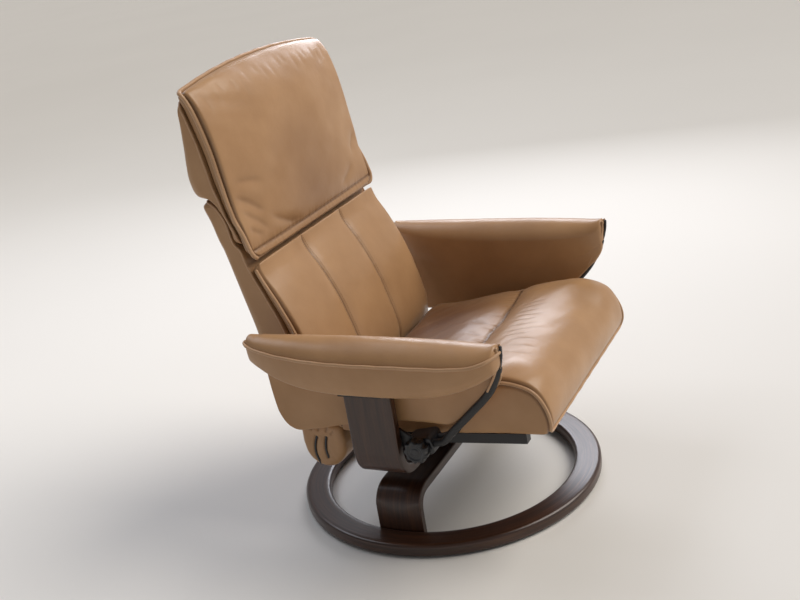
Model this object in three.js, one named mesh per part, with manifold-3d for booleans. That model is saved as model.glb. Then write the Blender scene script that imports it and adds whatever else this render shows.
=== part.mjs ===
// Swivel reclining armchair: a round bent-wood foot, a wooden U that carries two padded armrests,
// a leather seat that glides forward on two side rods as its back leans, and a tilting headrest.
// Units are millimetres. +Z is up, the chair faces -Y and the sitter's left is +X.
// The origin is on the floor at the swivel axis.
import * as THREE from "three";
import { mergeVertices } from "three/addons/utils/BufferGeometryUtils.js";
import Module from "manifold-3d";

const wasm = await Module();
wasm.setup();

// Gap between pieces that rest on each other, and between pieces that turn or slide.
const seatGap = 0.3;
const runGap = 0.7;

// Foot: a flat ring with a bent arch across it.
const ringOuter = 347;
const ringInner = 287;
const ringBottom = 3;
const ringTop = 31;
const ringEdge = 7;
const ringSides = 64;
const glideRadius = 13;
const glideCount = 6;
const bandWidth = 105;
const bandThick = 22;
const archTop = 125;
const archBend = 58;

// Swivel: a fixed post on the arch inside a turning collar under the beam.
const postRadius = 27;
const postFlange = 62;
const postFlangeThick = 6;
const postTop = 182;
const collarOuter = 37;
const collarBottom = 140;
const collarFlange = 58;
const collarFlangeThick = 6;

// Wooden U that carries the armrests.
const beamBottom = 190;
const beamHalf = 360;
const beamBend = 72;
const beamMiddleY = -17;
const beamTop = 396;
const armPlateThick = 5;
const armPlateWidth = 58;

// Armrests: boats in plan, with a crowned top above the piping line.
const armX = 356;
const armMiddleY = -37;
const armHalfLength = 276;
const armHalfWidth = 51;
const armTipHalfWidth = 12;
const armWallLean = 0.86;
const armBottom = beamTop + armPlateThick + seatGap;
const armPiping = 488;
const armTipPiping = 495;
const armCrown = 33;
const armEndRise = 58;
const armCorner = 12;
const armTrim = 0.38;
const armFrontPower = 4.2;
const armOuterFrontPower = 9;
const armRearPower = 2.1;

// Leather panel that hangs from each armrest's inner side, and the bent stay along its front edge.
const panelThick = 11;
const panelStations = 22;
const panelLowerEdge = [
  [-284, 434],
  [-276, 420],
  [-221, 358],
  [-177, 318],
  [-40, 316],
  [60, 300],
  [140, 290],
  [180, 292],
  [192, 304],
  [204, 330],
  [214, 362],
];
const stayRadius = 7;
const stayX = 325;
const stayRoute = [
  [326, -177, 300],
  [330, -221, 343],
  [335, -276, 402],
  [346, -299, 444],
  [348, -303, 455],
];

// Recline axle and the line that the seat glides along.
const axleY = 165;
const axleZ = 206;
const axleRadius = 10;
const axleHalf = 258;
const glideSlope = THREE.MathUtils.degToRad(12.5);

// Side rods, their clamps and hand knobs.
const rodX = 300;
const rodRadius = 8;
const rodRearY = 22;
const rodFrontY = -162;
const rodBend = 20;
const clampY = -105;
const clampHalfLength = 30;
const clampHalfHeight = 19;
const clampInner = 286;
const clampPlateRear = 28;
const clampPlateHeight = 44;
const knobRadius = 25;
const knobRidge = 1.6;
const knobRidges = 9;
const knobThick = 23;

// Seat and its steel frame. A sewn line across the seat parts its cover into two pillows.
const seatHalf = 268;
const seatBottomRear = [96, 246];
const seatBottomFront = [-335, 272];
const seatDepth = 125;
const seatSeamY = -146;
const seatSeamWidth = 22;
const seatSeamSink = 9;
const seatPillow = 9;
const seatSideShare = 0.93;
const seatPower = 6;
const seatStations = [
  [268, 11],
  [263, 5],
  [252, 0],
  [215, 0],
  [140, 0],
  [0, 0],
];
const panHalf = 240;
const panThick = 8;
const railWidth = 20;
const railHeight = 22;
const hingeArmX = 150;
const hingeArmWidth = 14;

// Back and headrest. Two upright seams part the back's cover into three pillows.
const backHalf = 270;
const headHalf = 278;
const padDepth = 44;
const padPillow = 6;
const backSeamX = 90;
const backSeamWidth = 9;
const backSeamSink = 4;
const backSideShare = 0.5;
const headSideShare = 0.5;
const padPower = 4;
const headLowEdge = 646;
const headPillowRise = 60;
const headArch = 34;
const headArchLow = 790;
const headArchHigh = 1022;
const backStations = [
  [270, 6],
  [266, 2],
  [252, 0],
  [210, 0],
  [150, 0],
  [102, 0],
  [90, 0],
  [78, 0],
  [40, 0],
  [0, 0],
];
const headStations = [
  [278, 9],
  [273, 3],
  [258, 0],
  [225, 0],
  [180, 0],
  [120, 0],
  [60, 0],
  [0, 0],
];
const lobeInner = 178;
const lobeRadius = 50;
const lobeTop = 262;
const headAxleY = 268;
const headAxleZ = 668;
const headAxleRadius = 6;
const headAxleHalf = 236;

const leather = new THREE.MeshStandardMaterial({ color: 0xa98258, roughness: 0.46, metalness: 0 });
const wood = new THREE.MeshStandardMaterial({ color: 0x6b3a22, roughness: 0.38, metalness: 0 });
const blackSteel = new THREE.MeshStandardMaterial({ color: 0x15161a, roughness: 0.42, metalness: 0.6 });
const blackPlastic = new THREE.MeshStandardMaterial({ color: 0x101114, roughness: 0.35, metalness: 0 });

const chair = new THREE.Group();

function place(name, geometry, material) {
  const mesh = new THREE.Mesh(geometry, material);
  mesh.name = name;
  chair.add(mesh);
  return mesh;
}

// Turns a drawing of (y, z) points, extruded along its own third axis, so that it lies across the chair.
const acrossX = new THREE.Matrix4().makeBasis(
  new THREE.Vector3(0, 1, 0),
  new THREE.Vector3(0, 0, 1),
  new THREE.Vector3(1, 0, 0),
);

// Turns a drawing of (x, z) points so that its thickness runs along -Y.
const alongY = new THREE.Matrix4().makeBasis(
  new THREE.Vector3(1, 0, 0),
  new THREE.Vector3(0, 0, 1),
  new THREE.Vector3(0, -1, 0),
);

// Closed drawing with corners [u, v, cut]: cut is how far from the corner its rounding starts.
function cornered(corners) {
  const shape = new THREE.Shape();
  corners.forEach(([u, v, cut], i) => {
    const corner = new THREE.Vector2(u, v);
    const before = new THREE.Vector2(...corners.at(i - 1));
    const after = new THREE.Vector2(...corners[(i + 1) % corners.length]);
    const start = corner.clone().add(before.sub(corner).setLength(cut));
    const end = corner.clone().add(after.sub(corner).setLength(cut));
    if (i === 0) {
      shape.moveTo(start.x, start.y);
    } else {
      shape.lineTo(start.x, start.y);
    }
    if (cut > 0) {
      shape.quadraticCurveTo(u, v, end.x, end.y);
    }
  });
  shape.closePath();
  return shape;
}

// Closed smooth drawing through a few points.
function smooth(points, divisions) {
  const curve = new THREE.CatmullRomCurve3(
    points.map(([u, v]) => new THREE.Vector3(u, v, 0)),
    true,
    "centripetal",
  );
  const outline = curve.getSpacedPoints(divisions).slice(0, -1);
  return new THREE.Shape(outline.map((p) => new THREE.Vector2(p.x, p.y)));
}

// Side view (y, z) made into a body from x0 to x1, with its edges rounded by a bevel.
function sideBody(shape, x0, x1, bevelAcross = 0, bevelIn = 0, segments = 2) {
  const geometry = new THREE.ExtrudeGeometry(shape, {
    depth: x1 - x0 - 2 * bevelAcross,
    curveSegments: 4,
    bevelEnabled: bevelAcross > 0,
    bevelThickness: bevelAcross,
    bevelSize: bevelIn,
    bevelOffset: -bevelIn,
    bevelSegments: segments,
  });
  geometry.translate(0, 0, x0 + bevelAcross);
  return geometry.applyMatrix4(acrossX);
}

// Front view (x, z) made into a band of the given width around yMiddle.
function frontBand(shape, width, yMiddle, bevel) {
  const geometry = new THREE.ExtrudeGeometry(shape, {
    depth: width - 2 * bevel,
    curveSegments: 10,
    bevelThickness: bevel,
    bevelSize: bevel,
    bevelOffset: -bevel,
    bevelSegments: 2,
  });
  geometry.translate(0, 0, bevel - width / 2 - yMiddle);
  return geometry.applyMatrix4(alongY);
}

// Round bar along X at (y, z).
function barAlongX(radius, x0, x1, y, z, sides = 24) {
  const geometry = new THREE.CylinderGeometry(radius, radius, x1 - x0, sides);
  geometry.rotateZ(Math.PI / 2);
  return geometry.translate((x0 + x1) / 2, y, z);
}

function solid(geometry) {
  const bare = geometry.clone();
  bare.deleteAttribute("normal");
  bare.deleteAttribute("uv");
  const merged = mergeVertices(bare, 1e-4);
  return new wasm.Manifold(new wasm.Mesh({
    numProp: 3,
    vertProperties: new Float32Array(merged.attributes.position.array),
    triVerts: new Uint32Array(merged.index.array),
  }));
}

function fromSolid(body) {
  const mesh = body.getMesh();
  const geometry = new THREE.BufferGeometry();
  geometry.setAttribute("position", new THREE.BufferAttribute(mesh.vertProperties, 3));
  geometry.setIndex(new THREE.BufferAttribute(mesh.triVerts, 1));
  return geometry;
}

// Closed body through a row of rings with equal point counts, with a fan over each end.
function loft(rings) {
  const count = rings[0].length;
  const last = (rings.length - 1) * count;
  const vertices = rings.flat();
  const middleOf = (ring) => ring
    .reduce((sum, p) => sum.add(p), new THREE.Vector3())
    .divideScalar(count);
  const startMiddle = vertices.push(middleOf(rings[0])) - 1;
  const endMiddle = vertices.push(middleOf(rings.at(-1))) - 1;
  const faces = [];
  for (let i = 0; i < count; i += 1) {
    const next = (i + 1) % count;
    for (let r = 0; r < last; r += count) {
      faces.push(r + i, r + next + count, r + next);
      faces.push(r + i, r + i + count, r + next + count);
    }
    faces.push(startMiddle, i, next);
    faces.push(endMiddle, last + next, last + i);
  }
  const geometry = new THREE.BufferGeometry().setFromPoints(vertices);
  geometry.setIndex(faces);
  return geometry;
}

// Closed side view (y, z), drawn rear first and upwards, carried from the left side to the right. Each station is
// [x, inset]: the drawing shrinks by the inset towards its middle, and shaped(y, z, x, inset) moves its points.
function pillowBody(shape, stations, shaped) {
  const { shape: outline } = shape.extractPoints(4);
  const box = new THREE.Box2().setFromPoints(outline);
  const middle = box.getCenter(new THREE.Vector2());
  const size = box.getSize(new THREE.Vector2());
  const right = stations.slice(0, -1).reverse().map(([x, inset]) => [-x, inset]);
  const rings = [...stations, ...right].map(([x, inset]) => outline.map((p) => {
    const y = middle.x + (p.x - middle.x) * (1 - 2 * inset / size.x);
    const z = middle.y + (p.y - middle.y) * (1 - 2 * inset / size.y);
    return new THREE.Vector3(x, ...shaped(y, z, x, inset));
  }));
  return loft(rings);
}

// Share of a pad's depth at d, its place across from -1 to 1.
function padShare(d, sideShare, power) {
  return sideShare + (1 - sideShare) * (1 - Math.abs(d) ** power) ** (1 / power);
}

// 1 on a seam, falling to 0 at the given distance from it.
function seamShare(distance, width) {
  return Math.max(0, 1 - Math.abs(distance) / width);
}

// Y of a slanted line of [y, z] points at height z.
function lineAt(line, z) {
  const after = line.findIndex(([, at]) => z <= at);
  const next = after < 0 ? line.length - 1 : Math.max(1, after);
  const [y0, z0] = line[next - 1];
  const [y1, z1] = line[next];
  return y0 + (y1 - y0) * (z - z0) / (z1 - z0);
}

// Height of the seat's underside at y.
function seatUnderside(y) {
  const [yRear, zRear] = seatBottomRear;
  const [yFront, zFront] = seatBottomFront;
  return zRear + (zFront - zRear) * (yRear - y) / (yRear - yFront);
}

// Height of the rods' straight stretch at y, on the line through the recline axle.
function rodHeight(y) {
  return axleZ + (axleY - y) * Math.tan(glideSlope);
}

function buildFoot() {
  const profile = cornered([
    [ringInner, ringBottom, ringEdge],
    [ringOuter, ringBottom, ringEdge],
    [ringOuter, ringTop, ringEdge],
    [ringInner, ringTop, ringEdge],
  ]).getPoints(3);
  const ring = new THREE.LatheGeometry(profile, ringSides).rotateX(Math.PI / 2);
  place("base_ring", ring, wood);

  for (let i = 0; i < glideCount; i += 1) {
    const turn = (i + 0.5) * 2 * Math.PI / glideCount;
    const glide = new THREE.CylinderGeometry(glideRadius, glideRadius, ringBottom - seatGap, 20);
    glide.rotateX(Math.PI / 2);
    const middle = (ringOuter + ringInner) / 2;
    glide.translate(middle * Math.sin(turn), middle * Math.cos(turn), (ringBottom - seatGap) / 2);
    place(`floor_glide_${i + 1}`, glide, blackPlastic);
  }

  const foot = ringBottom;
  const inside = ringInner - bandThick;
  const arch = cornered([
    [-ringInner, foot, 0],
    [-ringInner, archTop, archBend],
    [ringInner, archTop, archBend],
    [ringInner, foot, 0],
    [inside, foot, 0],
    [inside, archTop - bandThick, archBend - bandThick],
    [-inside, archTop - bandThick, archBend - bandThick],
    [-inside, foot, 0],
  ]);
  const ringHole = new THREE.CylinderGeometry(ringInner - seatGap, ringInner - seatGap, 2 * archTop, ringSides);
  ringHole.rotateX(Math.PI / 2);
  const fitted = solid(frontBand(arch, bandWidth, 0, 3)).intersect(solid(ringHole));
  place("base_arch", fromSolid(fitted), wood);
}

function buildSwivel() {
  const flangeTop = archTop + postFlangeThick;
  const post = new THREE.LatheGeometry([
    new THREE.Vector2(0, archTop),
    new THREE.Vector2(postFlange, archTop),
    new THREE.Vector2(postFlange, flangeTop),
    new THREE.Vector2(postRadius, flangeTop),
    new THREE.Vector2(postRadius, postTop),
    new THREE.Vector2(0, postTop),
  ], 54);
  place("swivel_post", post.rotateX(Math.PI / 2), blackSteel);

  const bore = postRadius + runGap;
  const collar = new THREE.LatheGeometry([
    new THREE.Vector2(bore, collarBottom),
    new THREE.Vector2(collarOuter, collarBottom),
    new THREE.Vector2(collarOuter, beamBottom - collarFlangeThick),
    new THREE.Vector2(collarFlange, beamBottom - collarFlangeThick),
    new THREE.Vector2(collarFlange, beamBottom),
    new THREE.Vector2(bore, beamBottom),
    new THREE.Vector2(bore, collarBottom),
  ], 54);
  place("swivel_collar", collar.rotateX(Math.PI / 2), blackSteel);
}

function buildArmBeam() {
  const inside = beamHalf - bandThick;
  const beam = cornered([
    [-beamHalf, beamTop, 0],
    [-beamHalf, beamBottom, beamBend],
    [beamHalf, beamBottom, beamBend],
    [beamHalf, beamTop, 0],
    [inside, beamTop, 0],
    [inside, beamBottom + bandThick, beamBend - bandThick],
    [-inside, beamBottom + bandThick, beamBend - bandThick],
    [-inside, beamTop, 0],
  ]);
  place("arm_beam", frontBand(beam, bandWidth, beamMiddleY, 3), wood);
}

// How full an armrest is at s, from -1 at its front tip to 1 at its rear tip: widest in its front half.
function armFullness(s, frontPower = armFrontPower) {
  const power = s < 0 ? frontPower : armRearPower;
  return (1 - Math.abs(s) ** power) ** 0.62;
}

// Half the armrest's width towards the chair's middle, or on its blunter outer side.
function armHalf(s, frontPower = armFrontPower) {
  return armTipHalfWidth + (armHalfWidth - armTipHalfWidth) * armFullness(s, frontPower);
}

function armUnderside(s) {
  return armBottom + armEndRise * Math.abs(s) ** 3.2;
}

// One crowned section of an armrest, as a ring of points at s.
function armSection(s) {
  const fullness = armFullness(s);
  const inner = armHalf(s);
  const outer = armHalf(s, armOuterFrontPower);
  const low = armUnderside(s);
  const y = armMiddleY + s * armHalfLength;
  const piping = armTipPiping + (armPiping - armTipPiping) * armFullness(s, armOuterFrontPower);
  const steps = 8;
  const ring = [];
  for (let i = 0; i <= steps; i += 1) {
    const u = 1 - 2 * i / steps;
    const crown = armCrown * (0.35 + 0.65 * fullness) * (1 - u * u) ** 0.75;
    ring.push(new THREE.Vector3((u > 0 ? outer : inner) * u, y, piping + crown));
  }
  for (const side of [-1, 1]) {
    const half = side < 0 ? inner : outer;
    const foot = half * armWallLean;
    const corner = Math.min(armCorner, foot * 0.5);
    const turn = [
      [half * 0.97, low + (piping - low) * 0.5],
      [foot, low + corner],
      [foot - corner * 0.3, low + corner * 0.3],
      [foot - corner, low],
    ];
    const run = side < 0 ? turn : turn.reverse();
    run.forEach(([x, z]) => ring.push(new THREE.Vector3(side * x, y, z)));
  }
  return ring;
}

// Height of the hanging panel's lower edge at y.
function panelLow(y) {
  const after = Math.max(1, panelLowerEdge.findIndex(([at]) => y <= at));
  const [y0, z0] = panelLowerEdge[after - 1];
  const [y1, z1] = panelLowerEdge[after];
  return z0 + (z1 - z0) * (y - y0) / (y1 - y0);
}

// The panel reaches up into the armrest's rounded lower corner and is trimmed to fit it.
function hangingPanel() {
  const [panelFrontY] = panelLowerEdge[0];
  const [panelRearY] = panelLowerEdge.at(-1);
  const rings = [];
  for (let i = 0; i <= panelStations; i += 1) {
    const y = panelFrontY + (panelRearY - panelFrontY) * i / panelStations;
    const s = (y - armMiddleY) / armHalfLength;
    const inner = armX - armHalf(s) * armWallLean + 1;
    const outer = inner + panelThick;
    const high = armUnderside(s) + armCorner;
    const low = panelLow(y);
    rings.push([
      new THREE.Vector3(inner, y, high),
      new THREE.Vector3(inner, y, low + 3),
      new THREE.Vector3(inner + 3, y, low),
      new THREE.Vector3(outer - 3, y, low),
      new THREE.Vector3(outer, y, low + 3),
      new THREE.Vector3(outer, y, high),
    ]);
  }
  return loft(rings);
}

// Bent bar from the clamp's front face up to the armrest's front tip.
function bentStay() {
  const along = new THREE.Vector3(0, -Math.cos(glideSlope), Math.sin(glideSlope));
  const start = new THREE.Vector3(stayX, clampY, rodHeight(clampY));
  start.addScaledVector(along, clampHalfLength + seatGap);
  const route = [start, start.clone().addScaledVector(along, 20)];
  stayRoute.forEach(([x, y, z]) => route.push(new THREE.Vector3(x, y, z)));
  return new THREE.ExtrudeGeometry(new THREE.Shape().absarc(0, 0, stayRadius, 0, 2 * Math.PI), {
    steps: 20,
    curveSegments: 5,
    extrudePath: new THREE.CatmullRomCurve3(route),
  });
}

function buildArmrest(name, side) {
  const stations = 24;
  const rings = [];
  for (let i = 0; i <= stations; i += 1) {
    const s = -Math.cos(Math.PI * i / stations);
    rings.push(armSection(s));
  }
  const armrest = loft(rings).translate(armX, 0, 0);
  const room = solid(armrest.clone().translate(0, 0, -armTrim));
  const bodies = [
    ["armrest", armrest, leather],
    ["arm_panel", fromSolid(solid(hangingPanel()).subtract(room)), leather],
    ["arm_stay", fromSolid(solid(bentStay()).subtract(room)), blackSteel],
  ];
  for (const [part, body, material] of bodies) {
    place(`${part}_${name}`, side < 0 ? mirrorX(body) : body, material);
  }

  const plate = new THREE.BoxGeometry(armPlateWidth, bandWidth - 10, armPlateThick);
  plate.translate(side * armX, beamMiddleY, beamTop + armPlateThick / 2);
  place(`arm_plate_${name}`, plate, blackSteel);
}

function buildClamp(name, side) {
  const plateFace = beamHalf - bandThick - seatGap;
  const z = rodHeight(clampY);
  const block = cornered([
    [-clampHalfLength, -clampHalfHeight, 9],
    [clampHalfLength, -clampHalfHeight, 9],
    [clampHalfLength, clampHalfHeight, 9],
    [-clampHalfLength, clampHalfHeight, 9],
  ]);
  const blockBody = sideBody(block, clampInner, plateFace);
  blockBody.rotateX(-glideSlope);
  blockBody.translate(0, clampY, z);
  const uprightFront = beamMiddleY - bandWidth / 2;
  const plateLow = beamBottom + beamBend + 3;
  const plateHigh = plateLow + clampPlateHeight;
  const plate = cornered([
    [clampY, z - 14, 0],
    [uprightFront, plateLow, 6],
    [clampPlateRear, plateLow, 10],
    [clampPlateRear, plateHigh, 10],
    [uprightFront, plateHigh, 16],
    [clampY, z + 14, 0],
  ]);
  const plateBody = sideBody(plate, plateFace - 8, plateFace);
  const bore = new THREE.CylinderGeometry(rodRadius + runGap, rodRadius + runGap, 4 * clampHalfLength, 24);
  bore.rotateX(-glideSlope);
  bore.translate(rodX, clampY, z);
  const body = fromSolid(solid(blockBody).add(solid(plateBody)).subtract(solid(bore)));
  const knobOutline = [];
  for (let i = 0; i < knobRidges * 4; i += 1) {
    const turn = 2 * Math.PI * i / (knobRidges * 4);
    const r = knobRadius + knobRidge * Math.cos(knobRidges * turn);
    knobOutline.push(new THREE.Vector2(r * Math.cos(turn), r * Math.sin(turn)));
  }
  const knobStart = plateFace + seatGap;
  const knob = sideBody(new THREE.Shape(knobOutline), knobStart, knobStart + knobThick, 3, 3);
  knob.translate(0, clampY, z);
  const mirrored = side < 0 ? [body, knob].map(mirrorX) : [body, knob];
  place(`clamp_${name}`, mirrored[0], blackPlastic);
  place(`knob_${name}`, mirrored[1], blackPlastic);
}

// Copy on the other side of the chair, with its faces still pointing out.
function mirrorX(geometry) {
  const indexed = geometry.index ? geometry.clone() : mergeVertices(geometry);
  indexed.scale(-1, 1, 1);
  const faces = indexed.index.array;
  for (let i = 0; i < faces.length; i += 3) {
    [faces[i], faces[i + 1]] = [faces[i + 1], faces[i]];
  }
  return indexed;
}

function buildSeatFrame() {
  const [yRear] = seatBottomRear;
  const [yFront] = seatBottomFront;
  const front = yFront + 30;
  const under = (y, drop) => [y, seatUnderside(y) - seatGap - drop, 0];
  const pan = cornered([under(front, panThick), under(yRear, panThick), under(yRear, 0), under(front, 0)]);
  const rail = cornered([
    under(front, railHeight),
    under(yRear, railHeight),
    under(yRear, 0),
    under(front, 0),
  ]);
  const armTip = axleY + 17;
  const hingeArm = cornered([
    [yRear - 40, seatUnderside(yRear) - 18, 0],
    [yRear + 10, seatUnderside(yRear) - 20, 12],
    [axleY - 10, axleZ - 18, 12],
    [armTip, axleZ - 16, 12],
    [armTip, axleZ + 16, 12],
    [yRear, seatUnderside(yRear) - seatGap, 6],
    [yRear - 40, seatUnderside(yRear) - seatGap, 0],
  ]);
  const pieces = [
    sideBody(pan, -panHalf, panHalf),
    sideBody(rail, panHalf - 1, panHalf + railWidth),
    sideBody(rail, -panHalf - railWidth, 1 - panHalf),
    sideBody(hingeArm, hingeArmX, hingeArmX + hingeArmWidth),
    sideBody(hingeArm, -hingeArmX - hingeArmWidth, -hingeArmX),
    barAlongX(axleRadius, -axleHalf, axleHalf, axleY, axleZ),
  ];
  const frame = pieces.map(solid).reduce((whole, piece) => whole.add(piece));
  place("seat_frame", fromSolid(frame), blackSteel);
}

function buildSeatCushion() {
  const side = smooth([
    seatBottomRear,
    [111, 262],
    [111, 292],
    [96, 316],
    [40, 331],
    [-93, 362],
    [-220, 390],
    [-290, 396],
    [-340, 376],
    [-361, 336],
    [-364, 296],
    [-354, 276],
    seatBottomFront,
    ...[-318, -290, -100, 50, 80].map((y) => [y, seatUnderside(y)]),
  ], 64);
  const shaped = (y, z, x) => {
    const d = x / seatHalf;
    const low = seatUnderside(y);
    const height = z - low;
    const share = THREE.MathUtils.clamp(height / seatDepth, 0, 1);
    const seam = seamShare(y - seatSeamY, seatSeamWidth);
    const pillow = seatPillow * (1 - Math.abs(d) ** 3) - (seatPillow + seatSeamSink) * seam ** 1.5;
    return [y, low + height * padShare(d, seatSideShare, seatPower) + pillow * share ** 2];
  };
  place("seat_cushion", pillowBody(side, seatStations, shaped), leather);
}

function buildSideRod(name, side) {
  const railFace = panHalf + railWidth + seatGap;
  const seatSide = seatHalf + seatGap;
  const at = (x, y, z) => new THREE.Vector3(side * x, y, z);
  const path = new THREE.CurvePath();
  const rearBendEnd = at(rodX, rodRearY - rodBend, rodHeight(rodRearY - rodBend));
  const frontBendStart = at(rodX, rodFrontY + rodBend, rodHeight(rodFrontY + rodBend));
  const frontCorner = at(rodX, rodFrontY, rodHeight(rodFrontY));
  path.add(new THREE.QuadraticBezierCurve3(
    at(railFace, rodRearY, rodHeight(rodRearY)),
    at(rodX, rodRearY, rodHeight(rodRearY)),
    rearBendEnd,
  ));
  path.add(new THREE.LineCurve3(rearBendEnd, frontBendStart));
  path.add(new THREE.QuadraticBezierCurve3(
    frontBendStart,
    frontCorner,
    at(seatSide, rodFrontY, rodHeight(rodFrontY)),
  ));
  const section = new THREE.Shape().absarc(0, 0, rodRadius, 0, 2 * Math.PI);
  const rod = new THREE.ExtrudeGeometry(section, {
    steps: 30,
    curveSegments: 6,
    extrudePath: path,
  });
  place(`side_rod_${name}`, rod, blackSteel);
}

function buildBack() {
  const split = [
    [170, 340, 30],
    [178, 407, 30],
    [200, 489, 30],
    [228, 556, 30],
  ];
  const pad = cornered([
    [169, 276, 8],
    ...split.map(([y, z, cut]) => [y - seatGap, z, cut]),
    [256, 622, 8],
    [240, 634, 8],
    [226, 618, 12],
    [194, 566, 36],
    [158, 491, 36],
    [132, 408, 36],
    [118, 341, 30],
    [130, 288, 18],
    [150, 268, 8],
  ]);
  const padRear = [[169, 262], ...split, [256, 640]].map(([y, z]) => [y - seatGap, z]);
  const backShaped = (drawnY, z, x, inset) => {
    const d = x / backHalf;
    const rear = lineAt(padRear, z);
    const y = inset > 0 ? Math.min(drawnY, rear - seatGap) : drawnY;
    const depth = Math.max(0, rear - y);
    const seam = seamShare(Math.abs(x) - backSeamX, backSeamWidth);
    const pillow = padPillow * (1 - Math.abs(d) ** 3) - (padPillow + backSeamSink) * seam;
    const share = Math.min(1, depth / padDepth);
    return [y + depth * (1 - padShare(d, backSideShare, padPower)) - pillow * share ** 2, z];
  };
  place("back_cushion", pillowBody(pad, backStations, backShaped), leather);

  const shell = cornered([
    [170, lobeTop + seatGap, 0],
    [218, lobeTop + seatGap, 0],
    [240, 288, 18],
    [272, 350, 40],
    [290, 487, 60],
    [313, 616, 60],
    [350, 764, 12],
    [318, 763, 14],
    [291, 728, 20],
    [279, 672, 0],
    [277, 663.5, 0],
    [267, 661, 0],
    [266, 642, 0],
    [260, 630, 0],
    ...split.toReversed(),
  ]);
  const shellBody = solid(sideBody(shell, -backHalf, backHalf, 8, 5));
  const groove = solid(barAlongX(headAxleRadius + seatGap, -headAxleHalf - 1, headAxleHalf + 1, headAxleY, headAxleZ));
  place("back_shell", fromSolid(shellBody.subtract(groove)), leather);

  const lobe = new THREE.Shape();
  lobe.moveTo(176, lobeTop);
  lobe.lineTo(217, lobeTop);
  lobe.lineTo(axleY + lobeRadius, axleZ);
  lobe.absarc(axleY, axleZ, lobeRadius, 0, THREE.MathUtils.degToRad(115), true);
  lobe.closePath();
  const bore = solid(barAlongX(axleRadius + runGap, lobeInner - 1, backHalf + 1, axleY, axleZ));
  const lobeBody = fromSolid(solid(sideBody(lobe, lobeInner, backHalf, 7, 7)).subtract(bore));
  place("back_lobe_left", lobeBody, leather);
  place("back_lobe_right", mirrorX(lobeBody), leather);
}

function buildHeadrest() {
  const axle = barAlongX(headAxleRadius, -headAxleHalf, headAxleHalf, headAxleY, headAxleZ);
  place("headrest_axle", axle, blackSteel);

  const split = [
    [280, 730, 16],
    [296, 798, 26],
    [308, 870, 26],
    [322, 928, 16],
  ];
  const pad = cornered([
    [237, headLowEdge, 0],
    [258, 650, 0],
    [264, 692, 8],
    ...split.map(([y, z, cut]) => [y - seatGap, z, cut]),
    [345, 1004, 8],
    [336, headArchHigh, 8],
    [311, 1018, 14],
    [284, 986, 24],
    [266, 912, 34],
    [252, 798, 40],
    [243, 700, 30],
  ]);
  const padRear = [[258, 650], [264, 692], ...split, [345, 1004]].map(([y, z]) => [y - seatGap, z]);
  const headShaped = (drawnY, drawnZ, x, inset) => {
    const d = x / headHalf;
    const high = THREE.MathUtils.clamp((drawnZ - headArchLow) / (headArchHigh - headArchLow), 0, 1);
    const z = drawnZ - headArch * d * d * high;
    const rear = lineAt(padRear, z);
    const shifted = drawnY + rear - lineAt(padRear, drawnZ);
    const y = inset > 0 || z < drawnZ ? Math.min(shifted, rear - seatGap) : shifted;
    const depth = Math.max(0, rear - y);
    const pillow = padPillow * (1 - Math.abs(d) ** 3) * Math.min(1, (z - headLowEdge) / headPillowRise);
    const share = Math.min(1, depth / padDepth);
    return [y + depth * (1 - padShare(d, headSideShare, padPower)) - pillow * share ** 2, z];
  };
  place("headrest_cushion", pillowBody(pad, headStations, headShaped), leather);

  const shell = cornered([
    [344, 980, 0],
    [354, 912, 26],
    [371, 820, 22],
    [360, 776, 10],
    [320, 772, 12],
    [294, 742, 12],
    [281, 705, 10],
    [277, 672, 0],
    [264.5, 672, 0],
    [265.5, 692, 0],
    ...split,
  ]);
  const shellBody = solid(sideBody(shell, -headHalf, headHalf, 8, 4));
  const clearance = headAxleRadius + runGap;
  const groove = solid(barAlongX(clearance, -headAxleHalf - 1, headAxleHalf + 1, headAxleY, headAxleZ));
  place("headrest_shell", fromSolid(shellBody.subtract(groove)), leather);
}

buildFoot();
buildSwivel();
buildArmBeam();
for (const [name, side] of [["left", 1], ["right", -1]]) {
  buildArmrest(name, side);
  buildClamp(name, side);
  buildSideRod(name, side);
}
buildSeatFrame();
buildSeatCushion();
buildBack();
buildHeadrest();

export default chair;
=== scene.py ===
# Swivel reclining armchair: sewn leather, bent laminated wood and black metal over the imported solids.
# Drawings are in millimetres in the side view (y, z) and meshes in metres. The chair faces -Y.
import math

import bmesh
import bpy
import numpy as np
from mathutils import Matrix, Vector


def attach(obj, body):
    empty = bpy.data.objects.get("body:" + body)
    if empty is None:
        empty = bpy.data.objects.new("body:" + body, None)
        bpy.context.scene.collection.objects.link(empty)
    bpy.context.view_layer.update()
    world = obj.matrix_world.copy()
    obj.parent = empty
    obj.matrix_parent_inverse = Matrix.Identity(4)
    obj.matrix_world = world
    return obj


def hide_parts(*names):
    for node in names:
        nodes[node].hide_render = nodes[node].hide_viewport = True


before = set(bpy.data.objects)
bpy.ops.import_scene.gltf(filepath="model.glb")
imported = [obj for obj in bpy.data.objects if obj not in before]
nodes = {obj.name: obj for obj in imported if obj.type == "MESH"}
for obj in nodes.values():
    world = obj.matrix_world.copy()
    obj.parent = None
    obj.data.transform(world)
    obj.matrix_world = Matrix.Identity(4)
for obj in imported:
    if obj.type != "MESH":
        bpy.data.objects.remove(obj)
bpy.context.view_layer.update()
mm = 0.001
print("frame loaded,", len(nodes), "solids")


# Helpers for curves, meshes and nodes

def toLinear(hexColour):
    channels = np.array([int(hexColour[i:i + 2], 16) for i in (1, 3, 5)]) / 255
    linear = np.where(channels <= 0.04045, channels / 12.92, ((channels + 0.055) / 1.055) ** 2.4)
    return (*linear.tolist(), 1.0)


def fullTurn(count):
    return np.linspace(0, 2 * np.pi, count, endpoint=False)


def quarterTurn(count):
    return np.linspace(0, np.pi / 2, count)


def stepLengths(line):
    return np.linalg.norm(np.diff(line, axis=0), axis=1)


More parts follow.
